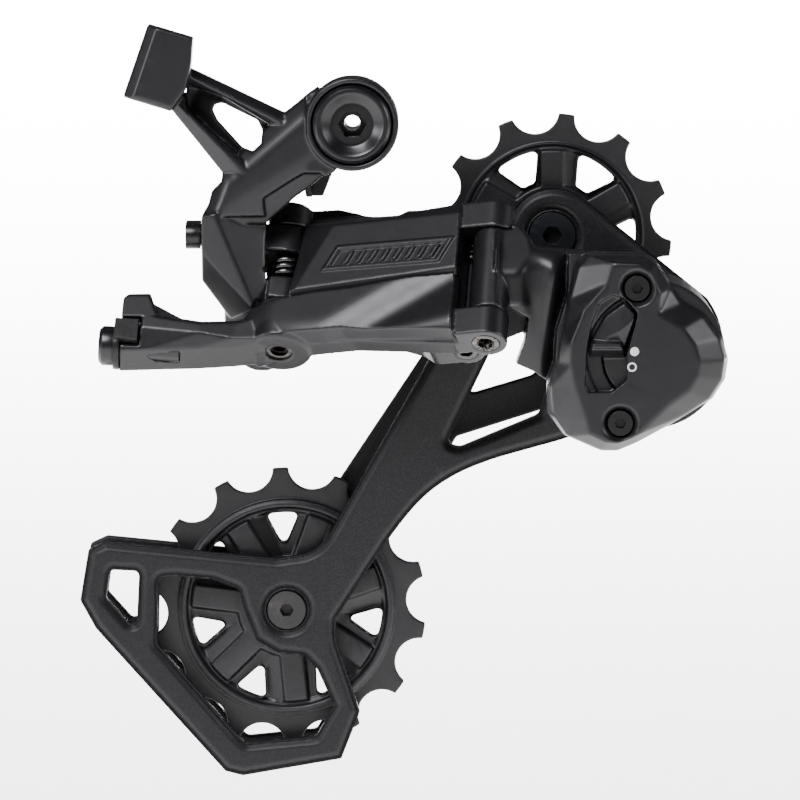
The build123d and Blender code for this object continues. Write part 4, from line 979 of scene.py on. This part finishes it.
def moulded(name, skin, details, body, slot, node):
    """Piece whose skin has details pressed into its flat faces, then evened out."""
    for detail in details:
        detail(skin)
    relax(skin, 2)
    place(name, thinned(skin, 0.4), body, slot, [node])


def cage_plate(name, node, slot, base, face, width, drop):
    """Moulded plate: the CAD plate with a broad bevel along every edge of its outer face."""
    mesh = cad_solid(node)
    lines = rim_lines(mesh, base, face)

    def fall(x, y):
        return -drop * np.clip(1 - line_distance(x, y, lines) / width, 0, 1)

    bevel = pressed(base, fall, (face - 0.6, face + 0.6), 0.6)
    moulded(name, voxel_skin(mesh, 0.27), [bevel], "cage", slot, node)


def pulley(name, node, centre, rim, hub, spokes, spoke_angle, rib_width):
    """Toothed pulley: ribbed spokes with sloped flanks, a groove inside its rim and a raised hub."""

    def side_shape(side):
        def shape(x, y):
            radius = np.hypot(x, y)
            angle = np.degrees(np.arctan2(y * side, x))
            turn = np.radians((angle - spoke_angle + 180 / spokes) % (360 / spokes) - 180 / spokes)
            across = radius * np.sin(turn)
            span = soft_step(radius, hub, hub + 0.3)
            span *= 1 - soft_step(radius, rim[0] - 0.2, rim[0] + 0.3)
            edge = soft_step(np.abs(across), 0.5 * rib_width, 0.5 * rib_width + 0.3)
            low = -0.5 - 0.38 * np.maximum(-across - 0.5 * rib_width, 0)
            flank = np.where(across > 0, -1.5, low) * edge
            groove = -soft_step(radius, rim[0] - 0.2, rim[0])
            groove *= 1 - soft_step(radius, rim[0] + 0.8, rim[0] + 1.1)
            bead = -0.3 * soft_step(radius, rim[1] - 0.6, rim[1] - 0.4)
            return span * flank + groove * (1 - span) + bead

        return shape

    details = []
    for side in (1, -1):
        base = plane((centre[0], PULLEY_MIDDLE, centre[1]), (1, 0, 0), (0, -side, 0))
        details.append(pressed(base, side_shape(side), (1.9, 2.7), 0.6))
    moulded(name, voxel_skin(cad_solid(node), 0.22), details, node, "pulley", node)


make_camera()
make_studio()
finish_cad_nodes()
b_knuckle()
outer_link()
inner_link()
p_knuckle()
link_pin("outer_pin_rear", link_plane, 0.0, "outer_link", 1.75)
link_pin("outer_pin_front", front_outer, -3.1, "outer_link", 1.75)
link_pin("inner_pin_rear", rear_inner, 3.8, "inner_link", 1.55)
link_pin("inner_pin_front", front_inner, 0.7, "inner_link", 1.55)
clutch_cover()
clutch_lever()
mounting_bolt()
cage_plate("cage_plate_outer_moulding", "cage_plate_outer", "outer_plate",
           outboard_plane, -PLATE_OUTER_FACE, 1.5, 1.3)
cage_plate("cage_plate_inner_moulding", "cage_plate_inner", "inner_plate",
           inboard_plane, PLATE_INNER_FACE, 1.5, 1.1)
pulley("upper_pulley_moulding", "upper_pulley", UPPER_PULLEY, (17.2, 18.6), 10.0, 6, 90.0, 4.6)
pulley("lower_pulley_moulding", "lower_pulley", LOWER_PULLEY, (19.6, 22.2), 10.0, 7,
       95.8 + 180 / 7, 4.6)
